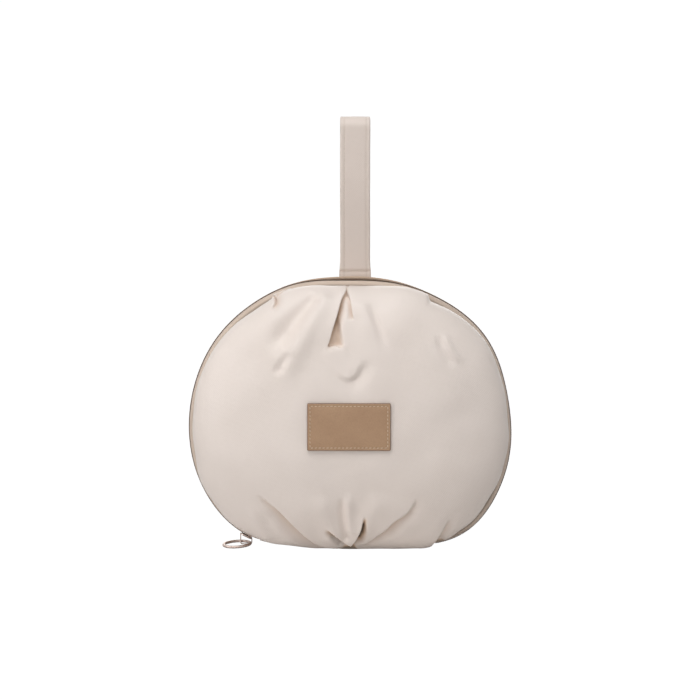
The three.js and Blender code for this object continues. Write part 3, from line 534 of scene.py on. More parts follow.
def capsules(starts, ends, radius, sides=6, rows=4, flatten=None):
    """Points and faces of many short round-ended threads."""
    starts, ends = np.asarray(starts, float), np.asarray(ends, float)
    verts, faces = [], []
    for a, b in zip(starts, ends):
        d = b - a
        length = np.linalg.norm(d)
        d = d / length
        helper = np.array([0, 0, 1.0]) if abs(d[2]) < 0.8 else np.array([1.0, 0, 0])
        u = np.cross(d, helper)
        u /= np.linalg.norm(u)
        v = np.cross(d, u)
        base = len(verts)
        stops = [(0.0, 0.0), (0.10, 0.75), (0.30, 1.0), (0.70, 1.0), (0.90, 0.75), (1.0, 0.0)]
        for share, r in stops:
            c = a + d * length * share
            if r == 0:
                verts.append(c)
                continue
            for k in range(sides):
                w = 2 * math.pi * k / sides
                verts.append(c + (u * math.cos(w) + v * math.sin(w)) * radius * r)
        first = base + 1
        faces += [(base, first + (k + 1) % sides, first + k) for k in range(sides)]
        for j in range(3):
            r0, r1 = first + j * sides, first + (j + 1) * sides
            faces += [(r0 + k, r0 + (k + 1) % sides, r1 + (k + 1) % sides, r1 + k) for k in range(sides)]
        last, tip = first + 3 * sides, first + 4 * sides
        faces += [(last + k, last + (k + 1) % sides, tip) for k in range(sides)]
    return np.array(verts), faces


# ------------------------------------------------------------------ materials
class Nodes:
    def __init__(self, name, **sockets):
        self.mat = bpy.data.materials.new(name)
        self.mat.use_nodes = True
        self.tree = self.mat.node_tree
        self.bsdf = next(n for n in self.tree.nodes if n.type == "BSDF_PRINCIPLED")
        for key, v in sockets.items():
            self.bsdf.inputs[key.replace("_", " ")].default_value = v
        self.coords = self.tree.nodes.new("ShaderNodeTexCoord")
        self.height = None

    def link(self, a, b):
        self.tree.links.new(a, b)

    def node(self, kind, **inputs):
        n = self.tree.nodes.new(kind)
        for key, v in inputs.items():
            socket = n.inputs[key.replace("_", " ")]
            if isinstance(v, bpy.types.NodeSocket):
                self.link(v, socket)
            else:
                socket.default_value = v
        return n

    def place(self, source="Object", scale=(1, 1, 1), rotation=(0, 0, 0)):
        m = self.node("ShaderNodeMapping", Vector=self.coords.outputs[source])
        m.inputs["Scale"].default_value = scale
        m.inputs["Rotation"].default_value = rotation
        return m.outputs["Vector"]

    def noise(self, scale, detail=2.0, rough=0.5, vector=None):
        n = self.node("ShaderNodeTexNoise", Vector=vector or self.coords.outputs["Object"], Scale=scale, Detail=detail, Roughness=rough)
        return n.outputs["Fac"]

    def wave(self, scale, vector, distortion=0.0, kind="BANDS", axis="X", detail=0.0):
        n = self.node("ShaderNodeTexWave", Vector=vector, Scale=scale, Distortion=distortion, Detail=detail)
        n.wave_type = kind
        n.bands_direction = axis
        return n.outputs["Fac"]

    def math(self, what, a, b=0.0, c=0.0):
        n = self.tree.nodes.new("ShaderNodeMath")
        n.operation = what
        for i, v in enumerate((a, b, c)):
            if isinstance(v, bpy.types.NodeSocket):
                self.link(v, n.inputs[i])
            else:
                n.inputs[i].default_value = v
        return n.outputs[0]

    def ramp(self, fac, stops):
        n = self.node("ShaderNodeValToRGB", Fac=fac)
        r = n.color_ramp
        r.elements[0].position, r.elements[0].color = stops[0][0], (*stops[0][1], 1)
        r.elements[1].position, r.elements[1].color = stops[-1][0], (*stops[-1][1], 1)
        for pos, colour in stops[1:-1]:
            r.elements.new(pos).color = (*colour, 1)
        return n.outputs["Color"]

    def mix(self, fac, a, b, how="MIX"):
        n = self.tree.nodes.new("ShaderNodeMix")
        n.data_type = "RGBA"
        n.blend_type = how
        for key, v in ((0, fac), (6, a), (7, b)):
            if isinstance(v, bpy.types.NodeSocket):
                self.link(v, n.inputs[key])
            elif key == 0:
                n.inputs[key].default_value = v
            else:
                n.inputs[key].default_value = (*v, 1)
        return n.outputs[2]

    def attribute(self, name):
        n = self.tree.nodes.new("ShaderNodeAttribute")
        n.attribute_name = name
        return n.outputs["Fac"]

    def bump(self, height, distance, strength=1.0):
        n = self.node("ShaderNodeBump", Height=height, Distance=distance, Strength=strength)
        if self.height is not None:
            self.link(self.height, n.inputs["Normal"])
        self.height = n.outputs["Normal"]
        self.link(self.height, self.bsdf.inputs["Normal"])

    def colour(self, socket):
        self.link(socket, self.bsdf.inputs["Base Color"])

    def roughness(self, socket):
        self.link(socket, self.bsdf.inputs["Roughness"])


def srgb(r, g, b):
    out = []
    for v in (r, g, b):
        v /= 255
        out.append(v / 12.92 if v <= 0.04045 else ((v + 0.055) / 1.055) ** 2.4)
    return tuple(out)


def cloth_material(name, light, dark, painted_fold_shade, roughness, sheen):
    """Fine, slightly satin woven cloth: a tight twill, faint slubs, soft crumples, and shade painted inside its folds
    as a warmer, darker tone, near black in the deepest creases.
    """
    m = Nodes(name)
    b = m.bsdf
    b.inputs["Sheen Weight"].default_value = sheen
    b.inputs["Sheen Roughness"].default_value = 0.45
    b.inputs["Specular IOR Level"].default_value = 0.42
    b.inputs["Subsurface Weight"].default_value = 0.0
    tone = m.noise(14.0, 3.0, 0.55)
    slub = m.noise(1.0, 2.0, 0.5, m.place(scale=(260, 260, 1900)))
    base = m.mix(m.math("MULTIPLY", tone, 0.75), light, dark)
    base = m.mix(m.math("MULTIPLY", m.math("SUBTRACT", slub, 0.45), 0.22), base, dark)
    # the painted shade: toward the fold colour, then near black where it passes 0.85
    fold = m.attribute("painted_shade")
    shaded = m.mix(m.math("MINIMUM", m.math("MULTIPLY", fold, 1.1), 1.0), base, painted_fold_shade)
    deep = m.node("ShaderNodeMapRange", Value=fold)
    deep.inputs["From Min"].default_value = 0.85
    deep.inputs["From Max"].default_value = 1.5
    m.colour(m.mix(deep.outputs["Result"], shaded, tuple(0.16 * v for v in painted_fold_shade)))
    m.roughness(m.math("ADD", roughness - 0.05, m.math("MULTIPLY", m.noise(45.0, 3.0), 0.12)))
    m.bump(m.noise(55.0, 3.0, 0.5), 0.0011, 0.30)
    m.bump(m.noise(150.0, 2.0, 0.5), 0.0004, 0.25)
    twill = m.math("ADD", m.wave(330.0, m.place(rotation=(0, 0.9, 0.0)), 0.6, axis="X"), m.wave(420.0, m.place(rotation=(0, -0.6, 0.3)), 0.4, axis="Z"))
    m.bump(twill, 0.00010, 0.35)
    return m.mat


def tape_material(name, light, dark):
    """Woven zip tape: ribs across, a herringbone along, and shade painted along its edges, where it runs into the seam
    and beside the chain.
    """
    m = Nodes(name, Roughness=0.78)
    m.bsdf.inputs["Sheen Weight"].default_value = 0.25
    m.bsdf.inputs["Sheen Roughness"].default_value = 0.5
    m.bsdf.inputs["Specular IOR Level"].default_value = 0.3
    across = m.wave(0.55, m.place("UV"), 0.4, axis="X")
    along = m.wave(0.62, m.place("UV", rotation=(0, 0, 0.5)), 0.3, axis="Y")
    tone = m.noise(60.0, 3.0)
    weave = m.math("MULTIPLY", across, along)
    base = m.mix(m.math("MULTIPLY", tone, 0.7), light, dark)
    base = m.mix(m.math("MULTIPLY", weave, 0.25), base, dark)
    # shade painted along the tape's edges, from the edge attribute
    m.colour(m.mix(m.math("MULTIPLY", m.attribute("edge"), 0.85), base, tuple(0.45 * v for v in dark)))
    m.bump(weave, 0.00022, 0.55)
    return m.mat


# the third colour of each cloth is the shade painted inside its folds
MAT_CLOTH = cloth_material("panel_cloth", srgb(244, 233, 226), srgb(237, 224, 214), srgb(214, 187, 162), 0.44, 0.15)
MAT_STRAP = cloth_material("loop_cloth", srgb(233, 220, 211), srgb(222, 207, 197), srgb(176, 154, 138), 0.55, 0.2)
MAT_TAPE = tape_material("zip_tape", srgb(230, 211, 195), srgb(208, 184, 163))
MAT_TAPE_BACK = tape_material("zip_tape_back", srgb(222, 198, 176), srgb(192, 163, 138))


def coil_material():
    m = Nodes("zip_coil", Roughness=0.42)
    tone = m.noise(220.0, 2.0)
    m.colour(m.mix(tone, srgb(142, 116, 96), srgb(112, 90, 74)))
    m.bump(m.noise(1400.0, 2.0), 0.00005, 0.5)
    return m.mat


def leather_material():
    """Tan artificial leather with a fine pebble grain, lighter where it is worn and darker at its cut edge."""
    m = Nodes("label_leather", Roughness=0.5)
    m.bsdf.inputs["Specular IOR Level"].default_value = 0.45
    grain = m.node("ShaderNodeTexVoronoi", Vector=m.coords.outputs["Object"], Scale=1150.0)
    grain.feature = "SMOOTH_F1"
    fine = m.noise(2200.0, 2.0)
    tone = m.noise(75.0, 4.0, 0.6)
    base = m.mix(m.math("MULTIPLY", tone, 0.9), srgb(190, 155, 122), srgb(165, 129, 99))
    base = m.mix(m.math("MULTIPLY", m.math("SUBTRACT", grain.outputs["Distance"], 0.25), 0.35), base, srgb(140, 106, 80))
    m.colour(m.mix(m.attribute("edge"), base, srgb(112, 84, 66)))
    m.roughness(m.math("ADD", 0.42, m.math("MULTIPLY", fine, 0.16)))
    m.bump(grain.outputs["Distance"], 0.00016, 0.7)
    m.bump(fine, 0.00005, 0.5)
    m.bump(m.noise(140.0, 3.0), 0.00035, 0.35)
    return m.mat


def thread_material(name, colour):
    m = Nodes(name, Roughness=0.6)
    m.bsdf.inputs["Sheen Weight"].default_value = 0.2
    twist = m.wave(900.0, m.place(rotation=(0.6, 0.5, 0.4)), 0.5)
    m.colour(m.mix(m.math("MULTIPLY", twist, 0.5), colour, tuple(v * 0.72 for v in colour)))
    m.bump(twist, 0.00008, 0.6)
    return m.mat


def metal_material():
    """Pale champagne plated metal, with faint polishing marks."""
    m = Nodes("zip_metal", Metallic=1.0, Roughness=0.3)
    tone = m.noise(260.0, 3.0)
    m.colour(m.mix(tone, srgb(216, 199, 190), srgb(192, 174, 166)))
    m.roughness(m.math("ADD", 0.34, m.math("MULTIPLY", m.noise(600.0, 2.0), 0.14)))
    m.bump(m.noise(1.0, 2.0, 0.5, m.place(scale=(300, 2400, 700))), 0.00003, 0.4)
    return m.mat


MAT_COIL = coil_material()
MAT_LEATHER = leather_material()
MAT_THREAD = thread_material("label_thread", srgb(226, 204, 176))
MAT_LOOP_THREAD = thread_material("loop_thread", srgb(226, 212, 200))
MAT_METAL = metal_material()


# ------------------------------------------------------------------ the two cloth panels
SURFACES = {side: Surface(side) for side in (-1, 1)}
ROUND_POINTS = 576
CLOTH_T = 1.6


def round_angles(n):
    """Angles round the rim, closer together where the gathers are."""
    d = np.linspace(0, 360, 3601)
    w = 1 + 1.1 * np.exp(-(((d - 91) / 20) ** 2)) + 1.3 * np.exp(-(((d - 266) / 26) ** 2))
    w += 0.9 * np.exp(-(((d - 120.5) / 2.5) ** 2)) + 0.9 * np.exp(-(((d - 59) / 2.5) ** 2))
    total = np.r_[0, np.cumsum((w[1:] + w[:-1]) / 2)]
    return np.interp(np.arange(n) / n * total[-1], total, d)


def ring_angles(side, spacing):
    """Heights up the profile at even distances along it."""
    u = np.linspace(0, 90, 1801)
    p = puffed(side, np.full_like(u, 135.0), u)
    far = np.r_[0, np.cumsum(np.linalg.norm(np.diff(p, axis=0), axis=1))]
    n = int(far[-1] / spacing)
    return np.interp(np.linspace(0, far[-1], n + 1), far, u)


def panel(name, side, soft, laps, shade_patches, spacing):
    angles = round_angles(ROUND_POINTS)
    ups = ring_angles(side, spacing)[:-1]
    surface = SURFACES[side]
    counts, starts, deg_all, up_all = [], [], [], []
    total = 0

    def add_ring(n, up):
        nonlocal total
        counts.append(n)
        starts.append(total)
        if n == 1:
            deg_all.append(np.array([90.0]))
        else:
            deg_all.append(angles[:: ROUND_POINTS // n])
        up_all.append(np.full(n, up))
        total += n

    mid = puffed(side, np.full(len(ups), 180.0), ups)
    radius = np.abs(mid[:, 0])

    def count_for(r, n_before=None):
        want = ROUND_POINTS if r > 26 else ROUND_POINTS // 2 if r > 13 else ROUND_POINTS // 4 if r > 6 else ROUND_POINTS // 8
        return want

    add_ring(1, 90.0)
    for up, r in list(zip(ups, radius))[::-1]:
        add_ring(count_for(r), up)
    outer_total = total
    inner_ups = ring_angles(side, 5.0)[:-1]
    add_ring(ROUND_POINTS, 0.0)
    n = ROUND_POINTS // 2
    for up in inner_ups[1:]:
        add_ring(n, up)
        n = max(n // 2, ROUND_POINTS // 8)
    add_ring(1, 90.0)

    deg = np.concatenate(deg_all)
    up = np.concatenate(up_all)
    base = puffed(side, deg, up)
    normal = puffed_normal(side, deg, up)
    normal[up >= 89.99] = (0, side, 0)
    at_seam = smooth(0, 9, up)
    outer = np.arange(len(deg)) < outer_total
    move, height, painted_shade = folded(surface, base, normal, soft, laps, shade_patches)
    height = height + 0.0
    points = base + move * at_seam[:, None]
    points += normal * (ripples(base, 11 + side, 34.0, 0.32) * at_seam * smooth(0, 8, base[:, 2]))[:, None]
    points[:, 2] = np.maximum(points[:, 2], 0.0)
    # the cloth's inner face keeps clear of the deepest fold near it
    low = np.minimum(height * at_seam, 0)
    deepest = np.zeros(total - outer_total)
    inner_base = base[outer_total:]
    sample = np.nonzero(low[:outer_total] < -0.4)[0][::7]
    for start in range(0, len(inner_base), 400):
        block = inner_base[start : start + 400]
        d2 = ((block[:, None, :] - base[sample][None]) ** 2).sum(-1)
        reach = np.where(d2 < 11.0**2, low[sample][None], 0.0)
        deepest[start : start + 400] = reach.min(1) if len(sample) else 0
    inner = inner_base - normal[outer_total:] * (CLOTH_T - deepest * at_seam[outer_total:])[:, None]
    inner[:, 1] = side * np.maximum(side * inner[:, 1], SEAM_Y + 0.01 * (up[outer_total:] > 0))
    inner[:, 2] = np.maximum(inner[:, 2], CLOTH_T)
    points[outer_total:] = inner
    painted_shade[outer_total:] = 0
    faces = ring_faces(counts, starts)
    ob = new_object(name, points, faces, MAT_CLOTH, values={"painted_shade": painted_shade})
    turn_out(ob)
    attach(ob, "bag")
    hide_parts(name)
    return ob, points[:outer_total], up[:outer_total]


front, FRONT_POINTS, FRONT_UP = panel("front_panel", -1, FRONT_SOFT, FRONT_LAPS, FRONT_SHADE_PATCHES, 0.86)
back, BACK_POINTS, BACK_UP = panel("back_panel", 1, BACK_SOFT, BACK_LAPS, (), 1.0)


# ------------------------------------------------------------------ zip tapes, chain and hinge
def rim_rows(degs, profile):
    """profile(deg) gives each section as (outward, y) corners; the rows are in mm."""
    p, out, _ = rim(degs)
    rows = []
    for i, d in enumerate(degs):
        section = np.array(profile(d))
        rows.append(np.stack([p[i, 0] + out[i, 0] * section[:, 0], section[:, 1], p[i, 1] + out[i, 1] * section[:, 0]], -1))
    rows = np.array(rows)
    rows[..., 2] = np.maximum(rows[..., 2], 0.05)
    return rows


def along_rim(degs):
    p = rim_point(degs)
    return np.r_[0, np.cumsum(np.linalg.norm(np.diff(p, axis=0), axis=1))]


def even_degs(a, b, spacing):
    d = np.linspace(a, b, 4001)
    far = along_rim(d)
    return np.interp(np.linspace(0, far[-1], int(far[-1] / spacing) + 1), far, d)


TAPE_FRONT = [(-1.15, 1.72), (-0.95, 2.0), (-1.40, 3.2), (-2.05, 4.4), (-2.85, 5.7), (-3.8, 6.9), (-4.8, 8.0)]
TAPE_BACK = [(-0.75, 1.72), (-0.5, 2.0), (-0.6, 3.2), (-0.95, 4.4), (-1.9, 5.7), (-3.2, 6.9), (-4.8, 8.0)]


def tape(name, side, line, material):
    degs = even_degs(ZIP_START_DEG, HINGE_START_DEG - 0.4, 1.0)
    line = np.array(line)

    def profile(deg):
        lift = strap_lift(deg) if side > 0 else 0.0
        outer = np.stack([line[:, 0] + lift, side * line[:, 1]], -1)
        inner = outer[::-1] - [0.95, 0]
        inner[-1, 0] -= lift  # the edge beside the chain is folded down to it
        return np.vstack([outer, inner])

    rows = rim_rows(degs, profile)
    n, c = rows.shape[:2]
    far = along_rim(degs)
    across = np.r_[np.arange(len(line)), np.arange(len(line))[::-1]] / (len(line) - 1) * 8
    uv = np.stack([np.repeat(far, c), np.tile(across, n)], -1)
    # shade painted into the tape's colour at its edges: darkest where it runs into the panel seam and, on the front
    # tape, beside the chain
    edge = np.zeros(c)
    edge[2 * len(line) - 1] = 1.0 if side < 0 else 0.3
    edge[0] = 0.7 if side < 0 else 0.0
    edge[len(line) - 1] = edge[len(line)] = 1.0
    edge[len(line) - 2] = 0.85
    edge[len(line) - 3] = 0.10
    ob = sweep(name, rows, material, uv=uv, values={"edge": np.tile(edge, n)})
    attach(ob, "bag")
    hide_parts(name)
    return ob


tape("front_zip_tape", -1, TAPE_FRONT, MAT_TAPE)
tape("back_zip_tape", 1, TAPE_BACK, MAT_TAPE_BACK)


def chain():
    """Two interlocked rows of coil, as one mesh, on a thin strip that closes the gap under them."""
    degs = even_degs(ZIP_START_DEG + 0.4, SLIDER_DEG - 2.0, 0.62)
    p, out, along = rim(degs)
    verts, faces = [], []
    sides, stops = 8, [(-1.5, 0.25), (-1.2, 0.40), (0.0, 0.44), (0.55, 0.42), (0.8, 0.2)]
    for i in range(len(degs)):
        side = -1 if i % 2 else 1
        lift = 0.1 * strap_lift(degs[i])
        base = len(verts)
        for y, r in stops:
            c = p[i] + out[i] * (-0.68 + lift)
            for k in range(sides):
                w = 2 * math.pi * k / sides
                q = c + out[i] * (0.5 * math.cos(w) * r / 0.44) + along[i] * (0.30 * math.sin(w) * r / 0.44)
                verts.append((q[0], side * -y * 1.0, q[1]))
        for j in range(len(stops) - 1):
            for k in range(sides):
                a, b = base + j * sides + k, base + j * sides + (k + 1) % sides
                faces.append((a, b, b + sides, a + sides) if side > 0 else (a, a + sides, b + sides, b))
        for row in (0, len(stops) - 1):
            ring = [base + row * sides + k for k in range(sides)]
            faces.append(tuple(ring if (row == 0) != (side > 0) else ring[::-1]))
    strip = rim_rows(degs[::3], lambda d: [(-1.75, -1.45), (-1.75, 1.45), (-2.3, 1.45), (-2.3, -1.45)])
    n, c = strip.shape[:2]
    base = len(verts)
    verts += strip.reshape(-1, 3).tolist()
    for i in range(n - 1):
        for k in range(c):
            a, b = base + i * c + k, base + i * c + (k + 1) % c
            faces.append((a, b, b + c, a + c))
    faces.append(tuple(base + k for k in range(c))[::-1])
    faces.append(tuple(base + (n - 1) * c + k for k in range(c)))
    verts = np.array(verts)
    verts[:, 2] = np.maximum(verts[:, 2], 0.05)
    ob = new_object("zip_chain", verts, faces, MAT_COIL)
    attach(ob, "bag")
    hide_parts("zip_chain")


chain()


def hinge():
    degs = even_degs(HINGE_START_DEG, 360 + ZIP_START_DEG - 0.4, 1.0)
    y = np.array([-8.0, -7.2, -6, -4.4, -3.0, -1.6, 0, 1.6, 3.0, 4.4, 6, 7.2, 8.0])
    n = np.interp(np.abs(y), [0, 1.9, 5.0, 8.0], [-0.3, -0.45, -1.6, -4.8])

    def profile(_):
        outer = np.stack([n, y], -1)
        inner = outer[::-1] - [1.15, 0]
        return np.vstack([outer, inner])

    rows = rim_rows(degs, profile)
    c = rows.shape[1]
    rows[:, : c // 2, 2] = np.maximum(rows[:, : c // 2, 2], 0.05)
    rows[:, c // 2 :, 2] = np.maximum(rows[:, c // 2 :, 2], 1.1)
    far = along_rim(degs)
    # shade painted along both edges of the hinge, where they run into the panels' seams
    painted_fold_shade = np.tile(np.r_[0.6, np.zeros(c // 2 - 2), 0.6, np.zeros(c - c // 2)], len(degs))
    ob = sweep("base_hinge", rows, MAT_CLOTH, values={"painted_shade": painted_fold_shade})
    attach(ob, "bag")
    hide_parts("base_hinge")
    return ob, far[-1]


hinge_piece, HINGE_LENGTH = hinge()


# ------------------------------------------------------------------ wrist loop
STRAP_X, STRAP_Y = 3.4, 9.3
STRAP_W, STRAP_T, STRAP_GAP = 20.0, 1.66, 11.0
STRAP_FOOT_Z, STRAP_JOIN_Z, STRAP_TOP_Z = 177.3, 185.0, 286.4


def strap_path():
    """Centre line of the band in (y, z), up the front leg, over the top and down the back leg."""
    r = STRAP_GAP / 2
    bend = STRAP_TOP_Z - 1.7 - r
    z = np.linspace(STRAP_FOOT_Z, bend, 110)
    gap = r * smooth(STRAP_JOIN_Z, STRAP_JOIN_Z + 62, z)
    front_leg = np.stack([STRAP_Y - gap - 0.85, z], -1)
    a = np.linspace(np.pi, 0, 30)[1:-1]
    top = np.stack([STRAP_Y + (r + 0.85) * np.cos(a), bend + (r + 0.85) * np.sin(a)], -1)
    back_leg = np.stack([STRAP_Y + gap + 0.85, z], -1)[::-1]
    return np.vstack([front_leg, top, back_leg])


def strap():
    path = strap_path()
    t = np.gradient(path, axis=0)
    t /= np.linalg.norm(t, axis=1, keepdims=True)
    away = np.stack([-t[:, 1], t[:, 0]], -1)  # outward from the loop
    far = np.r_[0, np.cumsum(np.linalg.norm(np.diff(path, axis=0), axis=1))]
    half, ht = STRAP_W / 2, STRAP_T / 2
    stitch_at = half - 2.8
    xs = np.r_[-half, -half + 0.25, -half + 0.7, np.linspace(-half + 1.4, half - 1.4, 37), half - 0.7, half - 0.25, half]
    edge = np.clip((half - np.abs(xs)) / 0.75, 0, 1)
    round_off = ht * np.sqrt(np.clip(1 - (1 - edge) ** 2, 0, 1))
    groove = 0.13 * (np.exp(-(((xs - stitch_at) / 0.55) ** 2)) + np.exp(-(((xs + stitch_at) / 0.55) ** 2)))
    plump = 0.10 * np.cos(np.clip(xs / stitch_at, -1, 1) * np.pi / 2) + 0.05
    rows, uvs, painted_shade_rows = [], [], []
    for i in range(len(path)):
        z = path[i, 1]
        flare = 1 + 0.055 * float(1 - smooth(181.0, 191.0, z))
        wobble = 0.10 * math.sin(far[i] / 13.0) + 0.07 * math.sin(far[i] / 5.3 + 1.0)
        bar = 0.5 * math.exp(-(((z - 183.6) / 0.7) ** 2))
        up_side = round_off - groove + plump * 0.8 - bar * (np.abs(xs) < half - 0.6)
        up_side = np.where(edge < 0.2, round_off, up_side)
        down_side = -(round_off - groove * 0.7)
        down_side = np.where(edge < 0.2, -round_off, down_side)
        section_x = np.r_[xs, xs[::-1][1:-1]]
        section_h = np.r_[up_side, down_side[::-1][1:-1]]
        row = np.stack(
            [
                STRAP_X + section_x * flare + wobble * 0.6,
                path[i, 0] + away[i, 0] * section_h,
                path[i, 1] + away[i, 1] * section_h,
            ],
            -1,
        )
        rows.append(row)
        uvs.append(np.stack([np.full(len(section_x), far[i]), section_x], -1))
        # shade painted into the stitch grooves and across the stitched bar
        g = np.r_[groove / 0.13 * 0.14 + bar * 0.8, (groove / 0.13 * 0.14)[::-1][1:-1]]
        painted_shade_rows.append(np.clip(g, 0, 1))
    ob = sweep("wrist_loop", np.array(rows), MAT_STRAP, uv=np.vstack(uvs), values={"painted_shade": np.concatenate(painted_shade_rows)})
    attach(ob, "bag")
    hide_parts("wrist_loop")
    # its two lines of edge stitching, and the bar of stitches across its foot
    starts, ends = [], []
    pitch, stitch = 2.5, 1.75
    for x in (-stitch_at, stitch_at):
        s = 9.5
        while s < far[-1] - 9.5:
            pair = []
            for q in (s, s + stitch):
                y = np.interp(q, far, path[:, 0])
                z = np.interp(q, far, path[:, 1])
                ay = np.interp(q, far, away[:, 0])
                az = np.interp(q, far, away[:, 1])
                h = ht - 0.10
                pair.append((STRAP_X + x, y + ay * h, z + az * h))
            starts.append(pair[0])
            ends.append(pair[1])
            s += pitch
    y_front = path[0, 0] - (ht - 0.2)
    for x in np.arange(-8.6, 8.0, 2.1):
        starts.append((STRAP_X + x, y_front, 183.6))
        ends.append((STRAP_X + x + 1.6, y_front, 183.6))
    verts, faces = capsules(starts, ends, 0.20)
    thread = new_object("loop_stitching", verts, faces, MAT_LOOP_THREAD)
    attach(thread, "bag")


strap()

# ------------------------------------------------------------------ label
LABEL_W, LABEL_H, LABEL_X, LABEL_Z, LABEL_T = 54.4, 31.0, -0.7, 85.7, 1.3
LABEL_GAP = 0.32


def label():
    near_label = FRONT_POINTS[(FRONT_UP > 40)]
    px, py, pz = near_label.T

    # a smooth height over the panel: a low-order surface through the cloth under the patch
    inside = (np.abs(px - LABEL_X) < LABEL_W / 2 + 4) & (np.abs(pz - LABEL_Z) < LABEL_H / 2 + 4)
    ax, az, ay = (px[inside] - LABEL_X) / 30, (pz[inside] - LABEL_Z) / 20, py[inside]

    def terms(u, v):
        return np.stack([u**i * v**j for i in range(5) for j in range(5 - i)], -1)

    fit, *_ = np.linalg.lstsq(terms(ax, az), ay, rcond=None)
    worst = float((ay - terms(ax, az) @ fit).min())  # cloth that stands nearer the camera than the fit

    def under(x, z):
        return terms((x - LABEL_X) / 30, (z - LABEL_Z) / 20) @ fit + max(worst, -0.35)

    nx, nz = 118, 70

    def spaced(half, n):
        inner = np.linspace(-half + 0.9, half - 0.9, n - 8)
        return np.r_[-half, -half + 0.1, -half + 0.28, -half + 0.55, inner, half - 0.55, half - 0.28, half - 0.1, half]

    us, vs = spaced(LABEL_W / 2, nx), spaced(LABEL_H / 2, nz)
    U, V = np.meshgrid(us, vs)
    corner = 0.9  # slightly rounded corners
    cx = np.maximum(np.abs(U) - (LABEL_W / 2 - corner), 0)
    cz = np.maximum(np.abs(V) - (LABEL_H / 2 - corner), 0)
    r = np.hypot(cx, cz)
    shrink = np.where(r > corner, corner / np.maximum(r, 1e-6), 1.0)
    X = np.where(shrink < 1, np.sign(U) * (LABEL_W / 2 - corner + cx * shrink), U)
    Z = np.where(shrink < 1, np.sign(V) * (LABEL_H / 2 - corner + cz * shrink), V)
    d = np.minimum(LABEL_W / 2 - np.abs(X), LABEL_H / 2 - np.abs(Z))
    d = np.minimum(d, np.where((cx > 0) & (cz > 0), corner - np.hypot(cx, cz) * shrink, d))
    stitch = 1.9
    h = LABEL_T * (1 - 0.30 * (1 - np.clip(d / 0.55, 0, 1)) ** 2)
    h -= 0.20 * np.exp(-(((d - stitch) / 0.45) ** 2))
    h += 0.12 * smooth(stitch, stitch + 5, d)
    h += 0.05 * np.sin(X * 0.31 + Z * 0.12) * smooth(2, 8, d)
    # a blank patch: its face rises a little inside the stitching
    top = np.stack([LABEL_X + X, under(LABEL_X + X, LABEL_Z + Z) - LABEL_GAP - h, LABEL_Z + Z], -1)
    bottom = np.stack([LABEL_X + X, under(LABEL_X + X, LABEL_Z + Z) - LABEL_GAP, LABEL_Z + Z], -1)
    n, m = U.shape
    verts = np.vstack([top.reshape(-1, 3), bottom.reshape(-1, 3)])
    faces = []
    for j in range(n - 1):
        for i in range(m - 1):
            a = j * m + i
            faces.append((a, a + 1, a + m + 1, a + m))
            b = a + n * m
            faces.append((b, b + m, b + m + 1, b + 1))
    border = (
        [i for i in range(m)]
        + [j * m + m - 1 for j in range(1, n)]
        + [(n - 1) * m + i for i in range(m - 2, -1, -1)]
        + [j * m for j in range(n - 2, 0, -1)]
    )
    for a, b in zip(border, border[1:] + border[:1]):
        faces.append((a, a + n * m, b + n * m, b))
    edge = np.r_[(1 - smooth(0.12, 0.6, d)).ravel(), np.ones(n * m)]
    ob = new_object("label", verts, faces, MAT_LEATHER, values={"edge": edge * 0.9})
    turn_out(ob)
    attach(ob, "bag")
    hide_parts("label")
    # stitching round it
    hw, hh = LABEL_W / 2 - stitch, LABEL_H / 2 - stitch
    starts, ends = [], []

    def point(x, z):
        y = float(under(np.array([LABEL_X + x]), np.array([LABEL_Z + z]))[0])
        return (LABEL_X + x, y - LABEL_GAP - LABEL_T + 0.06, LABEL_Z + z)

    for (x0, z0), (x1, z1) in (((-hw, hh), (hw, hh)), ((hw, hh), (hw, -hh)), ((hw, -hh), (-hw, -hh)), ((-hw, -hh), (-hw, hh))):
        length = math.hypot(x1 - x0, z1 - z0)
        count = round(length / 2.55)
        for k in range(count):
            s0, s1 = (k + 0.17) / count, (k + 0.83) / count
            tilt = 0.10
            ox, oz = (z1 - z0) / length * tilt, -(x1 - x0) / length * tilt
            starts.append(point(x0 + (x1 - x0) * s0 + ox, z0 + (z1 - z0) * s0 + oz))
            ends.append(point(x0 + (x1 - x0) * s1 - ox, z0 + (z1 - z0) * s1 - oz))
    verts, faces = capsules(starts, ends, 0.27)
    thread = new_object("label_stitching", verts, faces, MAT_THREAD)
    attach(thread, "bag")


label()

# ------------------------------------------------------------------ slider and ring
RING_R, RING_WIRE_R, RING_YAW_DEG = 8.9, 0.95, 48.0
PIVOT = np.array([-69.6, 0.0, 2.45])
SLIDER = dict(half=4.0, wide=3.2, top_low=-0.15, top_high=0.85, keel_low=-4.05, keel_high=-3.1)
ARCH = dict(half=4.1, t=0.7, wide=0.55, under=0.4)


def finish_hard(ob, width, segments=3):
    """Rounds a hard piece's edges, for good."""
    m = ob.modifiers.new("bevel", "BEVEL")
    m.width = width * MM
    m.segments = segments
    m.limit_method = "ANGLE"
    m.angle_limit = math.radians(25)
    m.harden_normals = False
    bpy.context.view_layer.update()
    deps = bpy.context.evaluated_depsgraph_get()
    done = bpy.data.meshes.new_from_object(ob.evaluated_get(deps))
    ob.modifiers.clear()
    ob.data = done
    done.polygons.foreach_set("use_smooth", [True] * len(done.polygons))


def slab(outline, low, high, place):
    """A plate with the given outline in its own plane, from low to high, placed by a function."""
    n = len(outline)
    verts = [place(x, y, low) for x, y in outline] + [place(x, y, high) for x, y in outline]
    faces = [tuple(range(n))[::-1], tuple(range(n, 2 * n))]
    faces += [(k, (k + 1) % n, n + (k + 1) % n, n + k) for k in range(n)]
    return verts, faces


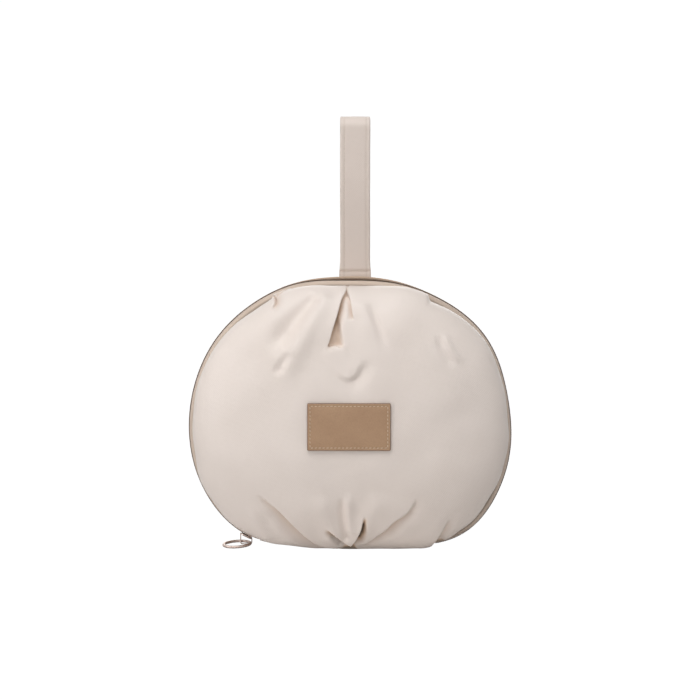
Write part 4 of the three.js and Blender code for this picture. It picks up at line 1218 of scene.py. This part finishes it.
def slider():
    seat, out, along = (v[0] for v in rim(np.array([SLIDER_DEG])))

    def place(u, y, n):
        q = seat + along * u + out * n
        return (q[0], y, q[1])

    half, wide = SLIDER["half"], SLIDER["wide"]
    shape = []
    for k in range(40):  # a shield: square at the tail, drawn in to a rounded nose
        a = 2 * math.pi * k / 40
        c, s = math.cos(a), math.sin(a)
        u = half * math.copysign(abs(c) ** 0.55, c)
        w = wide * math.copysign(abs(s) ** 0.6, s) * (1 - 0.16 * smooth(0, 1, (u + half) / (2 * half)))
        shape.append((u, float(w)))
    verts, faces = [], []

    def join(part):
        v, f = part
        base = len(verts)
        verts.extend(v)
        faces.extend(tuple(base + i for i in face) for face in f)

    join(slab(shape, SLIDER["top_low"], SLIDER["top_high"], place))
    join(slab(shape, SLIDER["keel_low"], SLIDER["keel_high"], place))
    post = [(half - 3.1, -0.9), (half - 0.7, -0.9), (half - 0.7, 0.9), (half - 3.1, 0.9)]
    join(slab(post, SLIDER["keel_high"] - 0.3, SLIDER["top_low"] + 0.3, place))
    for side in (-1, 1):  # turned-down flanges along the plate's edges
        rail = [(-half + 1.2, side * (wide - 0.75)), (half - 1.6, side * (wide - 1.05)), (half - 1.6, side * (wide - 0.45)), (-half + 1.2, side * (wide - 0.1))]
        join(slab(rail if side > 0 else rail[::-1], SLIDER["top_high"] - 0.2, SLIDER["top_high"] + 0.12, place))
    ob = new_object("slider", np.array(verts), faces, MAT_METAL, flat=True)
    finish_hard(ob, 0.16, 2)

    # the arch: a flat bar bent down over the ring's wire
    a_half, t, w = ARCH["half"], ARCH["t"], ARCH["wide"]
    low = PIVOT[2] - RING_WIRE_R - ARCH["under"] - t

    def plate_z(x):
        n = SLIDER["top_high"] - 0.45
        u = (x - seat[0] - out[0] * n) / along[0]
        return seat[1] + out[1] * n + along[1] * u

    xl, xr = PIVOT[0] - a_half + t / 2, PIVOT[0] + a_half - t / 2
    corner = 1.25
    line = [(xl, plate_z(xl))]
    line += [(xl, z) for z in np.linspace(plate_z(xl) - 0.6, low + t / 2 + corner, 5)]
    line += [(xl + corner - corner * math.cos(a), low + t / 2 + corner - corner * math.sin(a)) for a in np.linspace(0.15, math.pi / 2, 7)]
    line += [(x, low + t / 2) for x in np.linspace(xl + corner + 0.5, xr - corner - 0.5, 6)]
    line += [(xr - corner + corner * math.sin(a), low + t / 2 + corner - corner * math.cos(a)) for a in np.linspace(0, math.pi / 2 - 0.15, 7)]
    line += [(xr, z) for z in np.linspace(low + t / 2 + corner, plate_z(xr), 5)][1:]
    line = np.array(line)
    d = np.gradient(line, axis=0)
    d /= np.linalg.norm(d, axis=1, keepdims=True)
    side = np.stack([-d[:, 1], d[:, 0]], -1)
    section = []
    for k in range(16):
        a = 2 * math.pi * (k + 0.5) / 16
        c, s = math.cos(a), math.sin(a)
        section.append((math.copysign(abs(c) ** 0.5, c) * t / 2, math.copysign(abs(s) ** 0.5, s) * w))
    rows = [[(p[0] + sd[0] * n, y, p[1] + sd[1] * n) for n, y in section] for p, sd in zip(line, side)]
    arch = sweep("slider_arch", np.array(rows), MAT_METAL)
    for piece in (ob, arch):
        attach(piece, "bag")
        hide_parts("slider")


slider()


def ring():
    yaw = math.radians(RING_YAW_DEG)
    droop = math.asin((PIVOT[2] - RING_WIRE_R) / (2 * RING_R))
    turns, sides = 120, 20
    rows = []
    for i in range(turns):
        a = 2 * math.pi * i / turns
        row = []
        for k in range(sides):
            b = 2 * math.pi * k / sides
            r = RING_R + RING_WIRE_R * math.cos(b)
            x, y, z = r * math.cos(a) - RING_R, r * math.sin(a), RING_WIRE_R * math.sin(b)
            x, z = x * math.cos(droop) - z * math.sin(droop), x * math.sin(droop) + z * math.cos(droop)
            row.append((x * math.cos(yaw) - y * math.sin(yaw), x * math.sin(yaw) + y * math.cos(yaw), z))
        rows.append(row)
    v = (np.array(rows) + PIVOT).reshape(-1, 3)
    v[:, 2] = np.maximum(v[:, 2], 0.0)
    faces = []
    for i in range(turns):
        for k in range(sides):
            a, b = i * sides + k, i * sides + (k + 1) % sides
            c, e = ((i + 1) % turns) * sides + k, ((i + 1) % turns) * sides + (k + 1) % sides
            faces.append((a, c, e, b))
    ob = new_object("pull_ring", v, faces, MAT_METAL)
    turn_out(ob)
    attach(ob, "pull")
    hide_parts("pull_ring")


ring()


# ------------------------------------------------------------------ studio
def studio():
    scene = bpy.context.scene
    scene.view_settings.view_transform = "Standard"
    scene.view_settings.look = "None"
    scene.view_settings.exposure = 0.0
    scene.view_settings.gamma = 1.0

    world = bpy.data.worlds.new("studio")
    world.use_nodes = True
    scene.world = world
    bg = next(n for n in world.node_tree.nodes if n.type == "BACKGROUND")
    bg.inputs["Color"].default_value = (1.0, 0.99, 0.98, 1)
    bg.inputs["Strength"].default_value = 0.16

    def plain(name, colour, emit):
        m = Nodes(name, Roughness=0.9)
        m.bsdf.inputs["Base Color"].default_value = (*colour, 1)
        m.bsdf.inputs["Specular IOR Level"].default_value = 0.0
        m.bsdf.inputs["Emission Color"].default_value = (1, 1, 1, 1)
        m.bsdf.inputs["Emission Strength"].default_value = emit
        return m.mat

    # floor
    n = 96
    verts, faces = [(0.0, 0.0, 0.0)], []
    radii = [300, 900, 2500, 6000]
    for r in radii:
        verts += [(r * math.cos(2 * math.pi * k / n), r * math.sin(2 * math.pi * k / n), 0.0) for k in range(n)]
    faces += [(0, 1 + k, 1 + (k + 1) % n) for k in range(n)]
    for j in range(len(radii) - 1):
        a, b = 1 + j * n, 1 + (j + 1) * n
        faces += [(a + k, b + k, b + (k + 1) % n, a + (k + 1) % n) for k in range(n)]
    floor = new_object("floor", np.array(verts), faces, plain("floor", (0.4, 0.4, 0.4), 0.97))
    floor.visible_diffuse = False
    floor.visible_glossy = False
    floor.visible_transmission = False
    floor.visible_shadow = False
    # the same floor as the bag's lower side sees it: plain, pale and unlit from within
    bounce = new_object("floor_bounce", np.array(verts), faces, plain("floor_bounce", (0.66, 0.65, 0.64), 0.10))
    bounce.visible_camera = False

    # a round white backdrop, seen but lighting nothing
    verts, faces = [], []
    levels = [(6000, -50), (6000, 2500), (5000, 4500), (3000, 5600), (1200, 5950), (300, 6000)]
    for r, z in levels:
        verts += [(r * math.cos(2 * math.pi * k / n), r * math.sin(2 * math.pi * k / n), float(z)) for k in range(n)]
    for j in range(len(levels) - 1):
        a, b = j * n, (j + 1) * n
        faces += [(a + k, b + k, b + (k + 1) % n, a + (k + 1) % n) for k in range(n)]
    top = len(verts) - n
    faces.append(tuple(top + k for k in range(n)))
    dome = new_object("backdrop", np.array(verts), faces, plain("backdrop", (0, 0, 0), 1.02))
    dome.visible_diffuse = False
    dome.visible_transmission = False
    dome.visible_shadow = False

    def area(name, place, size, power, colour, target=(0, 0, 0.1)):
        data = bpy.data.lights.new(name, "AREA")
        data.shape = "DISK"
        data.size = size
        data.energy = power
        data.color = colour
        ob = bpy.data.objects.new(name, data)
        ob.location = place
        ob.rotation_euler = (Vector(target) - Vector(place)).to_track_quat("-Z", "Y").to_euler()
        scene.collection.objects.link(ob)

    def place(azimuth, height, away):
        a, e = math.radians(azimuth), math.radians(height)
        return (away * math.cos(e) * math.sin(a), -away * math.cos(e) * math.cos(a), away * math.sin(e) + 0.1)

    area("top", place(-8, 64, 2.2), 1.6, 26.0, (1.0, 1.0, 1.0))
    area("left", place(-60, 10, 2.2), 1.5, 13.2, (1.0, 0.995, 0.99))
    area("low", place(-20, 3, 2.2), 0.8, 3.5, (1.0, 0.99, 0.98), (0, 0, 0.02))
    area("back", place(172, 22, 2.2), 1.5, 9.0, (1.0, 0.995, 0.99))
    area("right", place(72, 50, 2.2), 1.6, 2.5, (1.0, 0.99, 0.98))


studio()
